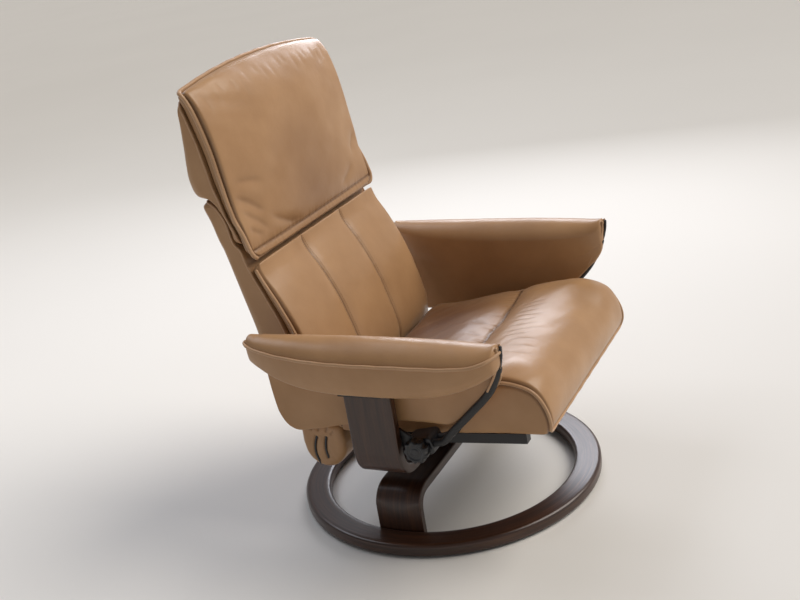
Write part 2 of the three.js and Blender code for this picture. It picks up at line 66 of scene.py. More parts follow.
def travelled(line):
    # The distance along the line from its start to each of its points.
    return np.concatenate([[0], np.cumsum(stepLengths(line))])


def evenly(points, count, closed=False):
    # The same line with its points at equal distances.
    p = np.asarray(points, float)
    if closed:
        p = np.concatenate([p, p[:1]])
    distance = travelled(p)
    at = np.linspace(0, distance[-1], count + 1 if closed else count)
    line = np.stack([np.interp(at, distance, p[:, k]) for k in range(p.shape[1])], 1)
    return line[:-1] if closed else line


def throughPoints(points, count):
    # Cubic Hermite pieces through the points, with tangents from their neighbours and even spacing.
    p = np.asarray(points, float)
    t = np.concatenate([[0], np.cumsum(stepLengths(p) ** 0.75)])
    tangent = np.gradient(p, t, axis=0)
    s = np.linspace(0, t[-1], 16 * count)
    i = np.clip(np.searchsorted(t, s, "right") - 1, 0, len(t) - 2)
    h = (t[i + 1] - t[i])[:, None]
    u = ((s - t[i]) / h[:, 0])[:, None]
    curve = ((1 + 2 * u) * (1 - u) ** 2 * p[i] + u * (1 - u) ** 2 * h * tangent[i]
             + u * u * (3 - 2 * u) * p[i + 1] + u * u * (u - 1) * h * tangent[i + 1])
    return evenly(curve, count)


def unit(v):
    return v / np.maximum(np.linalg.norm(v, axis=-1, keepdims=True), 1e-12)


def smoothStep(x, low, high):
    t = np.clip((x - low) / (high - low), 0, 1)
    return t * t * (3 - 2 * t)


def waves(x, seed, longest, count=5):
    # Seeded sum of sines, about -1 to 1: lengths longest / (1 + 0.83 * k), heights 1 / (1 + 0.35 * k).
    rng = np.random.default_rng(seed)
    total = np.zeros_like(x)
    for k in range(count):
        wavelength = longest / (1.0 + 0.83 * k) * rng.uniform(0.85, 1.15)
        total += np.sin(2 * np.pi * x / wavelength + rng.uniform(0, 2 * np.pi)) / (1 + 0.35 * k)
    return total / (0.55 * count)


def distanceTo(points, path, chunk=20000):
    # Distance from each point to the nearest point of a dense path, and where along the path that is.
    nearest = np.empty(len(points))
    where = np.empty(len(points), int)
    for start in range(0, len(points), chunk):
        part = points[start:start + chunk]
        squared = ((part[:, None, :] - path[None]) ** 2).sum(2)
        where[start:start + chunk] = squared.argmin(1)
        nearest[start:start + chunk] = np.sqrt(squared.min(1))
    return nearest, where


mergeWithin = 2e-5  # metres: points this close become one


def linked(name, data):
    made = bpy.data.objects.new(name, data)
    bpy.context.scene.collection.objects.link(made)
    return made


def makeObject(name, vertices, faces, values=None, join=True):
    # values: {attribute name: one number, or three, for each vertex}
    mesh = bpy.data.meshes.new(name)
    mesh.from_pydata(vertices.reshape(-1, 3), [], faces)
    for key, data in (values or {}).items():
        isVector = data.ndim > 1 and data.shape[-1] == 3
        kind, slot = ("FLOAT_VECTOR", "vector") if isVector else ("FLOAT", "value")
        found = mesh.attributes.new(key, kind, "POINT")
        found.data.foreach_set(slot, data.reshape(-1).astype(np.float32))
    if join:
        shape = bmesh.new()
        shape.from_mesh(mesh)
        bmesh.ops.remove_doubles(shape, verts=shape.verts, dist=mergeWithin)
        bmesh.ops.recalc_face_normals(shape, faces=shape.faces)
        shape.to_mesh(mesh)
        shape.free()
    mesh.shade_smooth()
    return linked(name, mesh)


def gridFaces(rows, columns, around=True, along=False):
    index = np.arange(rows * columns).reshape(rows, columns)
    if along:
        index = np.concatenate([index, index[:1]])
    if around:
        index = np.concatenate([index, index[:, :1]], 1)
    corners = [index[:-1, :-1], index[:-1, 1:], index[1:, 1:], index[1:, :-1]]
    return np.stack(corners, -1).reshape(-1, 4).tolist()


def gridObject(name, grid, values=None, around=True, along=False):
    rows, columns = grid.shape[:2]
    flat = {key: data.reshape(rows * columns, -1).squeeze() for key, data in (values or {}).items()}
    return makeObject(name, grid.reshape(-1, 3), gridFaces(rows, columns, around, along), flat)


def asGrid(x, y, z):
    # One grid of points in metres from three arrays in mm that fit each other's shape.
    return np.stack(np.broadcast_arrays(x, y, z), -1) * mm


capRings = 4  # rings that close a tube's round end


def tubeGrid(path, radius, upward, sides=12, closed=False, flat=1.0):
    # A circle carried along the path: centre + radius * (cos(angle) * side + flat * sin(angle) * up).
    path = np.asarray(path, float)
    if closed:
        tangent = unit(np.roll(path, -1, 0) - np.roll(path, 1, 0))
    else:
        tangent = unit(np.gradient(path, axis=0))
    side = unit(np.cross(tangent, np.broadcast_to(upward, path.shape)))
    up = np.cross(side, tangent)
    radii = np.full(len(path), radius, float)
    if not closed:  # round ends: the last rings shrink to a point
        turn = quarterTurn(capRings + 1)[1:]
        ahead = np.concatenate([-np.sin(turn)[::-1], np.zeros(len(path)), np.sin(turn)]) * radius
        last = len(path) - 1
        pick = np.concatenate([np.zeros(capRings, int), np.arange(len(path)), np.full(capRings, last)])
        radii = np.concatenate([np.cos(turn)[::-1], np.ones(len(path)), np.cos(turn)]) * radius
        path, tangent, side, up = path[pick], tangent[pick], side[pick], up[pick]
        path = path + tangent * ahead[:, None]
    angle = fullTurn(sides)[None, :, None]
    ring = np.cos(angle) * side[:, None] + flat * np.sin(angle) * up[:, None]
    return path[:, None] + ring * radii[:, None, None]


def tube(name, path, radius, upward, material, sides=12, closed=False, flat=1.0):
    made = gridObject(name, tubeGrid(path, radius, upward, sides, closed, flat), along=closed)
    return dress(made, material)


def dress(made, material, sharpFrom=None):
    made.data.materials.clear()
    made.data.materials.append(material)
    if sharpFrom:
        made.data.set_sharp_from_angle(angle=math.radians(sharpFrom))
    return made


def baked(made, levels=0):
    # Applies the object's modifiers, and a subdivision first where levels says so.
    if levels:
        smoother = made.modifiers.new("smoother", "SUBSURF")
        smoother.levels = smoother.render_levels = levels
    graph = bpy.context.evaluated_depsgraph_get()
    mesh = bpy.data.meshes.new_from_object(made.evaluated_get(graph), depsgraph=graph)
    made.modifiers.clear()
    made.data = mesh
    return made


def readBack(data, key, width):
    values = np.empty(len(data) * width, np.float32)
    data.foreach_get(key, values)
    return values.reshape(-1, width).astype(float)


def readPoints(mesh):
    return readBack(mesh.vertices, "co", 3)


def readNormals(mesh):
    return readBack(mesh.vertex_normals, "vector", 3)


def readValues(mesh, key):
    return readBack(mesh.attributes[key].data, "value", 1)[:, 0]


def writePoints(mesh, points):
    mesh.vertices.foreach_set("co", points.reshape(-1).astype(np.float32))
    mesh.update()


def writeValues(mesh, key, values):
    found = mesh.attributes.get(key) or mesh.attributes.new(key, "FLOAT", "POINT")
    found.data.foreach_set("value", values.astype(np.float32))


def copyAcross(made, name):
    # The same piece on the other side of the chair, with its faces turned so that they point out.
    mesh = made.data.copy()
    mesh.transform(Matrix.Diagonal((-1, 1, 1, 1)))
    mesh.flip_normals()
    return linked(name, mesh)


def feed(tree, node, links):
    # links: {input name or number: a value, or the output that feeds it}
    for key, value in links.items():
        if isinstance(value, bpy.types.NodeSocket):
            tree.links.new(value, node.inputs[key])
        else:
            node.inputs[key].default_value = value


def addNode(tree, kind, links=None, **settings):
    node = tree.nodes.new(kind)
    for key, value in settings.items():
        setattr(node, key, value)
    feed(tree, node, links or {})
    return node


def newMaterial(name, surface):
    material = bpy.data.materials.new(name)
    material.use_nodes = True
    shader = material.node_tree.nodes["Principled BSDF"]
    feed(material.node_tree, shader, surface)
    return material, material.node_tree, shader


# Materials

leatherLook = {
    "light": "#AE8760",
    "middle": "#A07952",
    # The colour of the painted shade in seams and creases.
    "creaseShade": "#4A2F19",
    # The colour of worn spots, and of the painted shade at the seat's rear.
    "soiled": "#5A3620",
    "roughness": 0.37,
    "grain": 2.4,  # mm across a pebble: real grain is about 1 mm, drawn coarser so that it shows
    "grainDepth": 0.5,  # mm
    "fold": 14,  # mm across the smallest soft folds
    "foldDepth": 1.5,  # mm
    "cloud": 85,  # mm, how wide the changes of tone are
    "polish": 0.05,  # how far the roughness goes up and down with the tone
}


def correctedLeather(name, look):
    # Corrected cow hide with a wax finish: warm tan, softly cloudy, with a satin gloss. Painted shade
    # darkens its seams and creases; a second mask darkens worn spots and paints shade at the seat's rear.
    material, tree, shader = newMaterial(name, {"IOR": 1.46, "Sheen Weight": 0.06, "Sheen Roughness": 0.4})
    place = addNode(tree, "ShaderNodeTexCoord").outputs["Object"]
    cloud = addNode(tree, "ShaderNodeTexNoise", {
        "Vector": place, "Scale": 1 / (look["cloud"] * mm), "Detail": 3.0, "Roughness": 0.5}).outputs["Fac"]
    tone = addNode(tree, "ShaderNodeMapRange", {"Value": cloud, "From Min": 0.25, "From Max": 0.75})
    colour = addNode(tree, "ShaderNodeMix", {
        0: tone.outputs["Result"], 6: toLinear(look["middle"]), 7: toLinear(look["light"])},
        data_type="RGBA").outputs[2]
    # The first mask is wear, plus painted shade at the seat's rear; the second is painted shade in seams
    # and creases.
    for mask, shade in (("soiled", "soiled"), ("crease", "creaseShade")):
        share = addNode(tree, "ShaderNodeAttribute", attribute_name=mask).outputs["Fac"]
        colour = addNode(tree, "ShaderNodeMix", {
            0: share, 6: colour, 7: toLinear(look[shade])}, data_type="RGBA").outputs[2]
    pebble = addNode(tree, "ShaderNodeTexVoronoi", {
        "Vector": place, "Scale": 1 / (look["grain"] * mm), "Randomness": 0.9}, feature="SMOOTH_F1")
    softFold = addNode(tree, "ShaderNodeTexNoise", {
        "Vector": place, "Scale": 1 / (look["fold"] * mm), "Detail": 4.0})
    fine = addNode(tree, "ShaderNodeBump", {
        "Height": pebble.outputs["Distance"], "Strength": 0.16, "Distance": look["grainDepth"] * mm})
    folded = addNode(tree, "ShaderNodeBump", {
        "Height": softFold.outputs["Fac"], "Strength": 0.2, "Distance": look["foldDepth"] * mm,
        "Normal": fine.outputs["Normal"]})
    polish = addNode(tree, "ShaderNodeMapRange", {
        "Value": cloud, "From Min": 0.3, "From Max": 0.75,
        "To Min": look["roughness"] + look["polish"], "To Max": look["roughness"] - look["polish"]})
    feed(tree, shader, {
        "Base Color": colour, "Roughness": polish.outputs["Result"], "Normal": folded.outputs["Normal"]})
    return material


def twoTones(name, roughness, pattern, settings, dark, light):
    # A dull surface whose colour drifts between two tones.
    material, tree, shader = newMaterial(name, {"Roughness": roughness})
    place = addNode(tree, "ShaderNodeTexCoord").outputs["Object"]
    drift = addNode(tree, pattern, {"Vector": place, **settings})
    tone = addNode(tree, "ShaderNodeMix", {
        0: drift.outputs["Fac"], 6: toLinear(dark), 7: toLinear(light)}, data_type="RGBA")
    feed(tree, shader, {"Base Color": tone.outputs[2]})
    return material


woodLook = {
    "dark": "#26140A",
    "middle": "#3B2214",
    "light": "#53331F",
    "glue": "#2C170E",
    "veneer": 2.7,  # mm, one layer of the laminate
    "glueShare": 0.14,  # of a layer, that the glue darkens
    "grainLength": 160,  # mm
    "grainWidth": 8.8,  # mm, a band of fibres across the board
    "roughness": 0.34,
}


def laminatedBeech(look):
    # Bent beech laminate, stained reddish brown under satin lacquer: long fine grain, layers on the edges.
    # The attribute woodPlace holds metres along the bend, through the layers and across the board.
    material, tree, shader = newMaterial("stained beech laminate", {
        "Coat Weight": 0.25, "Coat Roughness": 0.25, "IOR": 1.48})
    place = addNode(tree, "ShaderNodeAttribute", attribute_name="woodPlace").outputs["Vector"]
    stretched = addNode(tree, "ShaderNodeMapping", {
        "Vector": place,
        "Scale": [1 / (look[key] * mm) for key in ("grainLength", "veneer", "grainWidth")]})
    parts = addNode(tree, "ShaderNodeSeparateXYZ", {"Vector": stretched.outputs["Vector"]})
    layer = addNode(tree, "ShaderNodeMath", {0: parts.outputs["Y"]}, operation="FLOOR")
    inLayer = addNode(tree, "ShaderNodeMath", {0: parts.outputs["Y"]}, operation="FRACT")
    layerTone = addNode(tree, "ShaderNodeTexWhiteNoise", {
        "W": layer.outputs["Value"]}, noise_dimensions="1D")
    moved = addNode(tree, "ShaderNodeCombineXYZ", {
        "X": parts.outputs["X"], "Y": layer.outputs["Value"], "Z": parts.outputs["Z"]})
    grain = addNode(tree, "ShaderNodeTexNoise", {
        "Vector": moved.outputs["Vector"], "Scale": 1.0, "Detail": 6.0, "Roughness": 0.6,
        "Distortion": 0.3}).outputs["Fac"]
    pores = addNode(tree, "ShaderNodeTexNoise", {
        "Vector": moved.outputs["Vector"], "Scale": 6.0, "Detail": 2.0, "Roughness": 0.5})
    tone = addNode(tree, "ShaderNodeValToRGB", {"Fac": grain})
    low, high = tone.color_ramp.elements
    low.position, low.color = 0.3, toLinear(look["dark"])
    high.position, high.color = 0.72, toLinear(look["light"])
    tone.color_ramp.elements.new(0.5).color = toLinear(look["middle"])
    layerShare = addNode(tree, "ShaderNodeMath", {
        0: layerTone.outputs["Value"], 1: 0.35}, operation="MULTIPLY")
    layered = addNode(tree, "ShaderNodeMix", {
        0: layerShare.outputs["Value"], 6: tone.outputs["Color"], 7: toLinear(look["dark"])},
        data_type="RGBA")
    glueLine = addNode(tree, "ShaderNodeMapRange", {
        "Value": inLayer.outputs["Value"], "From Min": 0.0, "From Max": look["glueShare"],
        "To Min": 0.75, "To Max": 0.0})
    glued = addNode(tree, "ShaderNodeMix", {
        0: glueLine.outputs["Result"], 6: layered.outputs[2], 7: toLinear(look["glue"])}, data_type="RGBA")
    relief = addNode(tree, "ShaderNodeBump", {
        "Height": pores.outputs["Fac"], "Strength": 0.12, "Distance": 0.3 * mm})
    gloss = addNode(tree, "ShaderNodeMapRange", {
        "Value": grain, "To Min": look["roughness"] + 0.08, "To Max": look["roughness"] - 0.06})
    feed(tree, shader, {
        "Base Color": glued.outputs[2], "Roughness": gloss.outputs["Result"],
        "Normal": relief.outputs["Normal"]})
    return material


# Steel under black powder coat: near black, satin, with a fine orange-peel surface. Sizes in mm.
coatLook = {
    "ior": 1.5, "texture": "ShaderNodeTexNoise", "grain": 1.6, "patch": 60, "detail": 4.0,
    "dark": "#0D0D0E", "light": "#1C1C1F", "gloss": (0.36, 0.52), "relief": 0.18,
}
# Glass-filled nylon, moulded black: slightly glossy, with a fine spark-eroded texture. Sizes in mm.
nylonLook = {
    "ior": 1.53, "texture": "ShaderNodeTexVoronoi", "grain": 1.3, "patch": 22, "detail": 3.0,
    "dark": "#0D0D10", "light": "#1F2024", "gloss": (0.24, 0.42), "relief": 0.1,
}


def blackFinish(name, look):
    material, tree, shader = newMaterial(name, {"IOR": look["ior"]})
    place = addNode(tree, "ShaderNodeTexCoord").outputs["Object"]
    texture = addNode(tree, look["texture"], {"Vector": place, "Scale": 1 / (look["grain"] * mm)})
    patch = addNode(tree, "ShaderNodeTexNoise", {
        "Vector": place, "Scale": 1 / (look["patch"] * mm), "Detail": look["detail"]}).outputs["Fac"]
    tone = addNode(tree, "ShaderNodeMix", {
        0: patch, 6: toLinear(look["dark"]), 7: toLinear(look["light"])}, data_type="RGBA")
    gloss = addNode(tree, "ShaderNodeMapRange", {
        "Value": patch, "To Min": look["gloss"][0], "To Max": look["gloss"][1]})
    relief = addNode(tree, "ShaderNodeBump", {
        "Height": texture.outputs[0], "Strength": look["relief"], "Distance": 0.2 * mm})
    feed(tree, shader, {
        "Base Color": tone.outputs[2], "Roughness": gloss.outputs["Result"],
        "Normal": relief.outputs["Normal"]})
    return material


leather = correctedLeather("tan leather", leatherLook)
# The piping's hide is lighter than the rest: a painted highlight for the gloss along its rolled edges.
pipingSheenLook = dict(leatherLook, light="#B8936F", middle="#AA8562", grain=1.8, cloud=60)
# Twisted polyester sewing thread, a little darker than the hide, dull.
thread = twoTones("waxed thread", 0.6, "ShaderNodeTexWave", {"Scale": 700.0, "Distortion": 1.0},
                  "#6E4F35", "#866344")
wood = laminatedBeech(woodLook)
steel = blackFinish("black powder coat", coatLook)
nylon = blackFinish("moulded black nylon", nylonLook)
pipingSheenLeather = correctedLeather("tan leather piping", pipingSheenLook)
print("materials ready")


# Upholstery: a slab is a row of rings between a front line and a rear line, so that
# point = rear + (front - rear) * depth share, and x = half width * width share.

slabStep = 5.2  # mm between the rings and between the points of a ring
slabEnds = 40  # mm that the rounded ends add to a slab's length
pipingStep = 3.5  # mm between the points of a piped edge
rearSlope = 0.27  # how far the headrest's rear line leans back for each unit of height


def roundedRing(halfWidth, thick, frontShare, rearShare, frontRound, rearRound):
    # A ring as (width share, depth share): the front falls from 1 at the middle to frontShare at the
    # side as 1 - |d| ** frontRound under a root, and the rear rises from 0 to rearShare in the same way.
    across = int(2 * halfWidth / slabStep)
    t = np.linspace(-1, 1, across)
    d = 0.75 * t + 0.25 * np.sin(np.pi / 2 * t)
    front = frontShare + (1 - frontShare) * np.clip(1 - np.abs(d) ** frontRound, 0, 1) ** (1 / frontRound)
    rear = rearShare * (1 - np.clip(1 - np.abs(d) ** rearRound, 0, 1) ** (1 / rearRound))
    sideCount = max(1, int((frontShare - rearShare) * thick / slabStep))
    side = np.linspace(frontShare, rearShare, sideCount + 1)[1:-1]
    width = np.concatenate([d[::-1], -np.ones_like(side), d, np.ones_like(side)])
    depth = np.concatenate([front[::-1], side, rear, side[::-1]])
    return width, depth


def slabLines(look):
    # Front and rear lines in metres, with matching points at even steps.
    rows = np.asarray(look["rows"], float)
    length = stepLengths(0.5 * (rows[:, :2] + rows[:, 2:])).sum()
    lines = throughPoints(rows, int((length + slabEnds) / slabStep))
    return lines[:, :2] * mm, lines[:, 2:] * mm


def slabHalfWidths(look, front, rear):
    # The half width along the slab, with its corners rounded by an arc at each end.
    along = travelled(0.5 * (front + rear))
    half = np.full(len(front), look["halfWidth"] * mm)
    for corner, fromEnd in ((look["lowCorner"], along), (look["highCorner"], along[-1] - along)):
        r = corner * mm
        t = np.clip(1 - fromEnd / r, 0, 1)
        half -= r * (1 - np.sqrt(1 - t * t))
    return half


def slabObject(name, look):
    front, rear = slabLines(look)
    half = slabHalfWidths(look, front, rear)
    thick = np.linalg.norm(front - rear, axis=1)
    d, q = roundedRing(look["halfWidth"], thick.max() / mm, *look["ring"])
    edge = edgeShare(look, front)[:, None]
    flat, low = look["ring"][:2]
    # The pad stands up beside its piping, then the shares are stretched so that the piping lies at edge.
    roll = np.exp(-((np.abs(d) - 0.8) / 0.2) ** 2) * np.clip(1 - np.abs(d) ** 16, 0, 1) ** 0.5
    q = np.where(q > flat, q + look.get("sideRoll", 0) * roll, q)
    q = np.where(q < flat, q * edge / flat, edge + (q - flat) * (1 - edge) / (1 - flat))
    # The sides swell outwards: bulge = sideBulge * sin(pi * share of the side's height).
    sideShare = np.clip((q - low) / np.maximum(edge - low, 0.05), 0, 1)
    bulge = look.get("sideBulge", 0) * mm * np.sin(np.pi * sideShare) * (np.abs(d) > 0.999)
    x = half[:, None] * d + np.sign(d) * bulge * (thick / thick.max())[:, None]
    yz = rear[:, None] + (front - rear)[:, None] * q[..., None]
    grid = arched(look, np.concatenate([x[..., None], yz], 2))
    share = np.linspace(0, 1, len(front))[:, None] + 0 * d
    made = gridObject(name, grid, {"along": share, "across": d + 0 * share, "depth": q + 0 * share})
    look["edgePath"] = slabEdge(look, front, rear, half)
    return made


def edgeShare(look, front):
    # The piped edge's share of the depth: ring[0], and lowEdge from z 740 mm down to z 655 mm.
    share = look["ring"][0]
    return share + (look.get("lowEdge", share) - share) * smoothStep(-front[:, 1] / mm, -740, -655)


def arched(look, points):
    # The top falls to both sides: z = z - arch * (x / half width)^2 * share, and y follows the rear line.
    arch, low, high = look.get("arch", (0, 0, 1))
    fall = arch * mm * (points[..., 0] / (look["halfWidth"] * mm)) ** 2
    fall = fall * np.clip((points[..., 2] / mm - low) / (high - low), 0, 1)
    return points - np.stack([0 * fall, rearSlope * fall, fall], -1)


def slabEdge(look, front, rear, half):
    # The piped edge as a closed loop: up one side, across the far end, down the other side and back.
    share = edgeShare(look, front)[:, None]
    yz = rear + (front - rear) * share
    up = np.column_stack([half, yz])
    ends = np.linspace(1, -1, 60)[1:-1, None] * [1, 0, 0]
    far = half[-1] * ends + np.array([0, *yz[-1]])
    near = half[0] * -ends + np.array([0, *yz[0]])
    down = up[::-1] * [-1, 1, 1]
    loop = arched(look, np.concatenate([up, far, down, near]))
    return evenly(loop, int(stepLengths(loop).sum() / (pipingStep * mm)), closed=True)


# Cloth: every padded piece swells under pressure at once, held at its seams, then each move is capped.

clothLook = {
    "frames": 18,
    "smoothing": 16,  # rounds that even out the pulled cover
    "settings": {
        "quality": 6, "mass": 0.3, "tension_stiffness": 18.0, "compression_stiffness": 18.0,
        "shear_stiffness": 9.0, "bending_stiffness": 4.0, "air_damping": 2.0, "use_pressure": True,
        "shrink_min": -0.0015,  # less than nothing: the cover is cut this share larger than its filling
        "vertex_group_mass": "held",
    },
}


def swell(pads, look):
    # pads: [(object, held: 0 free to 1 sewn for each vertex, cap in metres for each vertex, pressure)]
    scene = bpy.context.scene
    before = []
    for made, held, _, pressure in pads:
        before.append(readPoints(made.data))
        group = made.vertex_groups.new(name="held")
        for weight in (0.25, 0.5, 0.75, 1.0):
            members = np.flatnonzero(np.abs(np.round(held * 4) / 4 - weight) < 0.1)
            group.add(members.tolist(), weight, "REPLACE")
        cloth = made.modifiers.new("cover", "CLOTH")
        for key, value in look["settings"].items():
            setattr(cloth.settings, key, value)
        cloth.settings.uniform_pressure_force = pressure
        cloth.settings.effector_weights.gravity = 0.0
        cloth.point_cache.frame_start = 1
        cloth.point_cache.frame_end = look["frames"]
    for step in range(1, look["frames"] + 1):
        scene.frame_set(step)
    graph = bpy.context.evaluated_depsgraph_get()
    for (made, held, cap, _), rest in zip(pads, before):
        evaluated = made.evaluated_get(graph)
        moved = readPoints(evaluated.data) - rest
        far = np.linalg.norm(moved, axis=1)
        moved *= (np.minimum(far, cap) / np.maximum(far, 1e-9))[:, None]
        made.modifiers.clear()
        made.vertex_groups.clear()
        for _ in range(look["smoothing"]):
            moved += (neighbourMean(made.data, moved) - moved) * (0.7 * (1 - held))[:, None]
        writePoints(made.data, rest + moved)
        print("   ", made.name, "swelled by up to", round(float(far.max()) / mm, 1), "mm")
    scene.frame_set(1)


def neighbourMean(mesh, values):
    edges = np.empty(len(mesh.edges) * 2, np.int32)
    mesh.edges.foreach_get("vertices", edges)
    a, b = edges.reshape(-1, 2).T
    count = np.bincount(edges, minlength=len(values))
    total = np.stack([
        np.bincount(a, values[b, k], len(values)) + np.bincount(b, values[a, k], len(values))
        for k in range(values.shape[1])], 1)
    return total / np.maximum(count, 1)[:, None]


def finishPad(made, fields, wearAndShadeOf=None):
    # One subdivision, then seams and creases: each field gives an inward depth and painted shade for its
    # groove.
    baked(made, 1)
    mesh = made.data
    points, normals = readPoints(mesh), readNormals(mesh)
    depth, dark = np.zeros(len(points)), np.zeros(len(points))
    for field in fields:
        inward, shade = field(points, normals)
        depth += inward
        dark = np.maximum(dark, shade)
    writePoints(mesh, points - normals * depth[:, None])
    # Painted shade in the seams and creases.
    writeValues(mesh, "crease", np.clip(dark, 0, 1))
    # Wear, and on the seat also painted shade from the back and the arms.
    writeValues(mesh, "soiled", np.zeros(len(points)) if wearAndShadeOf is None else wearAndShadeOf(points))
    for key in ("along", "across", "depth", "kind", "station"):
        found = mesh.attributes.get(key)
        if found:
            mesh.attributes.remove(found)
    mesh.shade_smooth()
    dress(made, leather)


def onChair(made, body, slot, replaced=(), fill=None):
    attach(made, body)
    if replaced:
        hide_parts(*replaced)


def bothSides(made, body, slot, replaced=(), fill=None):
    # The left piece and its mirrored copy, whose name and replaced nodes say right where these say left.
    onChair(made, body, slot, replaced, fill)
    other = copyAcross(made, made.name.replace("left", "right"))
    onChair(other, body, slot, [node.replace("left", "right") for node in replaced], fill)


# The two axes of each flat view, and the way that the drawn surface faces.
views = {"front": ((0, 2), (0, -1, 0)), "rear": ((0, 2), (0, 1, 0)), "top": ((0, 1), (0, 0, 1)),
         "side": ((1, 2), (1, 0, 0))}
gatherLength = 0.034  # metres, the longest wave of a gathered seam
pipingSeam = 2.2  # mm, how wide the seam beside a piping is


def drawnLine(path, view, groove, width, valley, valleyWidth, shade, gather=0, ends=0.0, seed=1):
    # A seam or fold line drawn in a flat view:
    # inward = groove * exp(-(r / width)^2) + valley * exp(-(r / valley width)^2),
    # and shade * exp(-(r / width)^2) is painted shade in the groove.
    axes, facing = views[view]
    dense = throughPoints(path, 240) * mm
    length = stepLengths(dense).sum()

    def field(points, normals):
        r, i = distanceTo(points[:, axes], dense)
        r = r / mm
        s = i / (len(dense) - 1)
        gate = smoothStep(normals @ np.array(facing, float), 0.1, 0.4)
        if ends:
            gate = gate * smoothStep(np.minimum(s, 1 - s), 0, ends)
        core = np.exp(-(r / width) ** 2)
        wide = np.exp(-(r / valleyWidth) ** 2)
        gathers = 1 + gather * waves(s * length, seed, gatherLength)
        return gate * mm * (groove * core + valley * wide * gathers), gate * shade * core
    return field


def creases(view, table):
    # Each row: points, groove, its width, valley, its width, painted shade, and the share that fades at
    # each end.
    return [drawnLine(path, view, *shape, ends=ends) for path, *shape, ends in table]


def besidePiping(path, distance, groove, shade):
    # The seam that holds a piping: inward = groove * exp(-((r - distance) / width)^2), r from its middle,
    # and shade times the same curve is painted shade in the seam.
    def field(points, normals):
        r = distanceTo(points, path)[0] / mm
        seam = np.exp(-((r - distance) / pipingSeam) ** 2)
        return groove * mm * seam, shade * seam
    return field


def softHeaves(seed, depth, longest):
    # Broad uneven stuffing: inward = depth * seeded waves along three leaning directions.
    leaning = np.array([[1, 0.35, 0.2], [0.25, 1, 0.6], [0.3, -0.5, 1]])

    def field(points, normals):
        lean = points @ leaning
        heave = waves(lean[:, 0], seed, longest) * waves(lean[:, 2], seed + 1, longest * 0.8)
        cross = waves(lean[:, 1], seed + 2, longest * 0.5)
        return depth * mm * (heave + 0.5 * cross), np.zeros(len(points))
    return field


stitchLook = {"pitch": 4.4, "length": 3.3, "radius": 0.5}
stitchSides = 5


def stitchRow(name, surface, path, body, look=stitchLook):
    # Short capsules end to end on the surface: one small shape set in a frame (thread, out, side) each.
    count = int(stepLengths(path).sum() / (look["pitch"] * mm))
    hits = [surface.closest_point_on_mesh(Vector(spot)) for spot in evenly(path, count)]
    at = np.array([hit[1] for hit in hits])
    out = unit(np.array([hit[2] for hit in hits]))
    ahead = unit(np.gradient(at, axis=0))
    side = unit(np.cross(ahead, out))
    out = np.cross(side, ahead)
    along = np.array([-1.0, -0.8, 0, 0.8, 1.0]) * look["length"] / 2 * mm
    thick = np.array([0.25, 0.8, 1.0, 0.8, 0.25]) * look["radius"] * mm
    turn = fullTurn(stitchSides)
    local = np.stack([along[:, None] + 0 * turn, thick[:, None] * np.sin(turn),
                      thick[:, None] * np.cos(turn)], -1).reshape(1, -1, 3)
    points = (at[:, None] + local[..., :1] * ahead[:, None] + local[..., 1:2] * out[:, None]
              + local[..., 2:] * side[:, None])
    size = local.shape[1]
    one = gridFaces(len(along), stitchSides)
    one += [list(range(stitchSides)), list(range(size - 1, size - 1 - stitchSides, -1))]
    faces = [[corner + size * k for corner in face] for k in range(count) for face in one]
    made = makeObject(name, points.reshape(-1, 3), faces, join=False)
    made.data.flip_normals()
    onChair(dress(made, thread), body, "leather")


# The five leather slabs. rows: [front y, front z, rear y, rear z] in mm from one end to the other.
# ring: share of the depth at the side for the front and the rear, and how square each turns.

seatLook = {
    "rows": [
        [112, 258, 112, 258], [119, 291, 101, 249], [107, 319, 80, 247], [44, 331, 40, 249.5],
        [-93, 362, -80, 256.6], [-218, 390, -200, 263.9], [-288, 396, -262, 267.6],
        [-338, 376, -300, 269.9], [-360, 336, -325, 271.4], [-364, 298, -345, 273.5],
        [-356, 277, -356, 277]],
    "halfWidth": 268, "lowCorner": 8, "highCorner": 16, "ring": (0.90, 0.10, 6, 10), "cap": 13,
    "sideBulge": 4,
    "sideRoll": 0.055,  # how far the pad stands up beside its piping, as a share of its thickness
}
backLook = {
    "rows": [
        [154, 271, 154, 271], [133, 284, 165, 275], [124, 318, 169, 300], [122.5, 341, 170, 330],
        [136, 407, 177.7, 407], [161.5, 490, 199.7, 489], [197, 565, 227.7, 556], [223, 607, 246, 601],
        [228, 622, 250, 611], [230, 633.5, 250.5, 617], [241, 623, 241, 623]],
    "halfWidth": 272, "lowCorner": 12, "highCorner": 10, "ring": (0.5, 0.5, 5.5, 11), "cap": 10,
}
backShellLook = {
    "rows": [
        [195, 262.5, 195, 262.5], [171, 268, 218, 266], [170, 296, 240, 291], [170.6, 335, 262, 328],
        [178.2, 407, 278, 405], [200.2, 489, 289, 489], [228.2, 556, 301, 556], [260, 630, 314.5, 629],
        [267.5, 661, 322, 661],
        [279, 672, 326, 676], [291, 726, 338, 722], [312, 757, 346, 755], [334, 764, 334, 764]],
    "halfWidth": 270, "lowCorner": 6, "highCorner": 14, "ring": (0.95, 0.30, 8, 4), "cap": 4,
}
headLook = {
    "rows": [
        [242, 640, 242, 640], [231, 642, 255, 650], [232, 656, 259, 661], [236, 674, 261, 674],
        [240, 700, 266, 697], [245, 740, 279.5, 731], [250.5, 800, 295.5, 798], [262, 890, 309, 874],
        [275, 952, 323, 928], [294, 1001, 335, 974], [312, 1018, 344, 1003], [338, 1017, 338, 1017]],
    "halfWidth": 279, "lowCorner": 28, "highCorner": 10, "ring": (0.47, 0.47, 4.2, 10), "cap": 11,
    "arch": (22, 790, 1022), "lowEdge": 0.82,
}
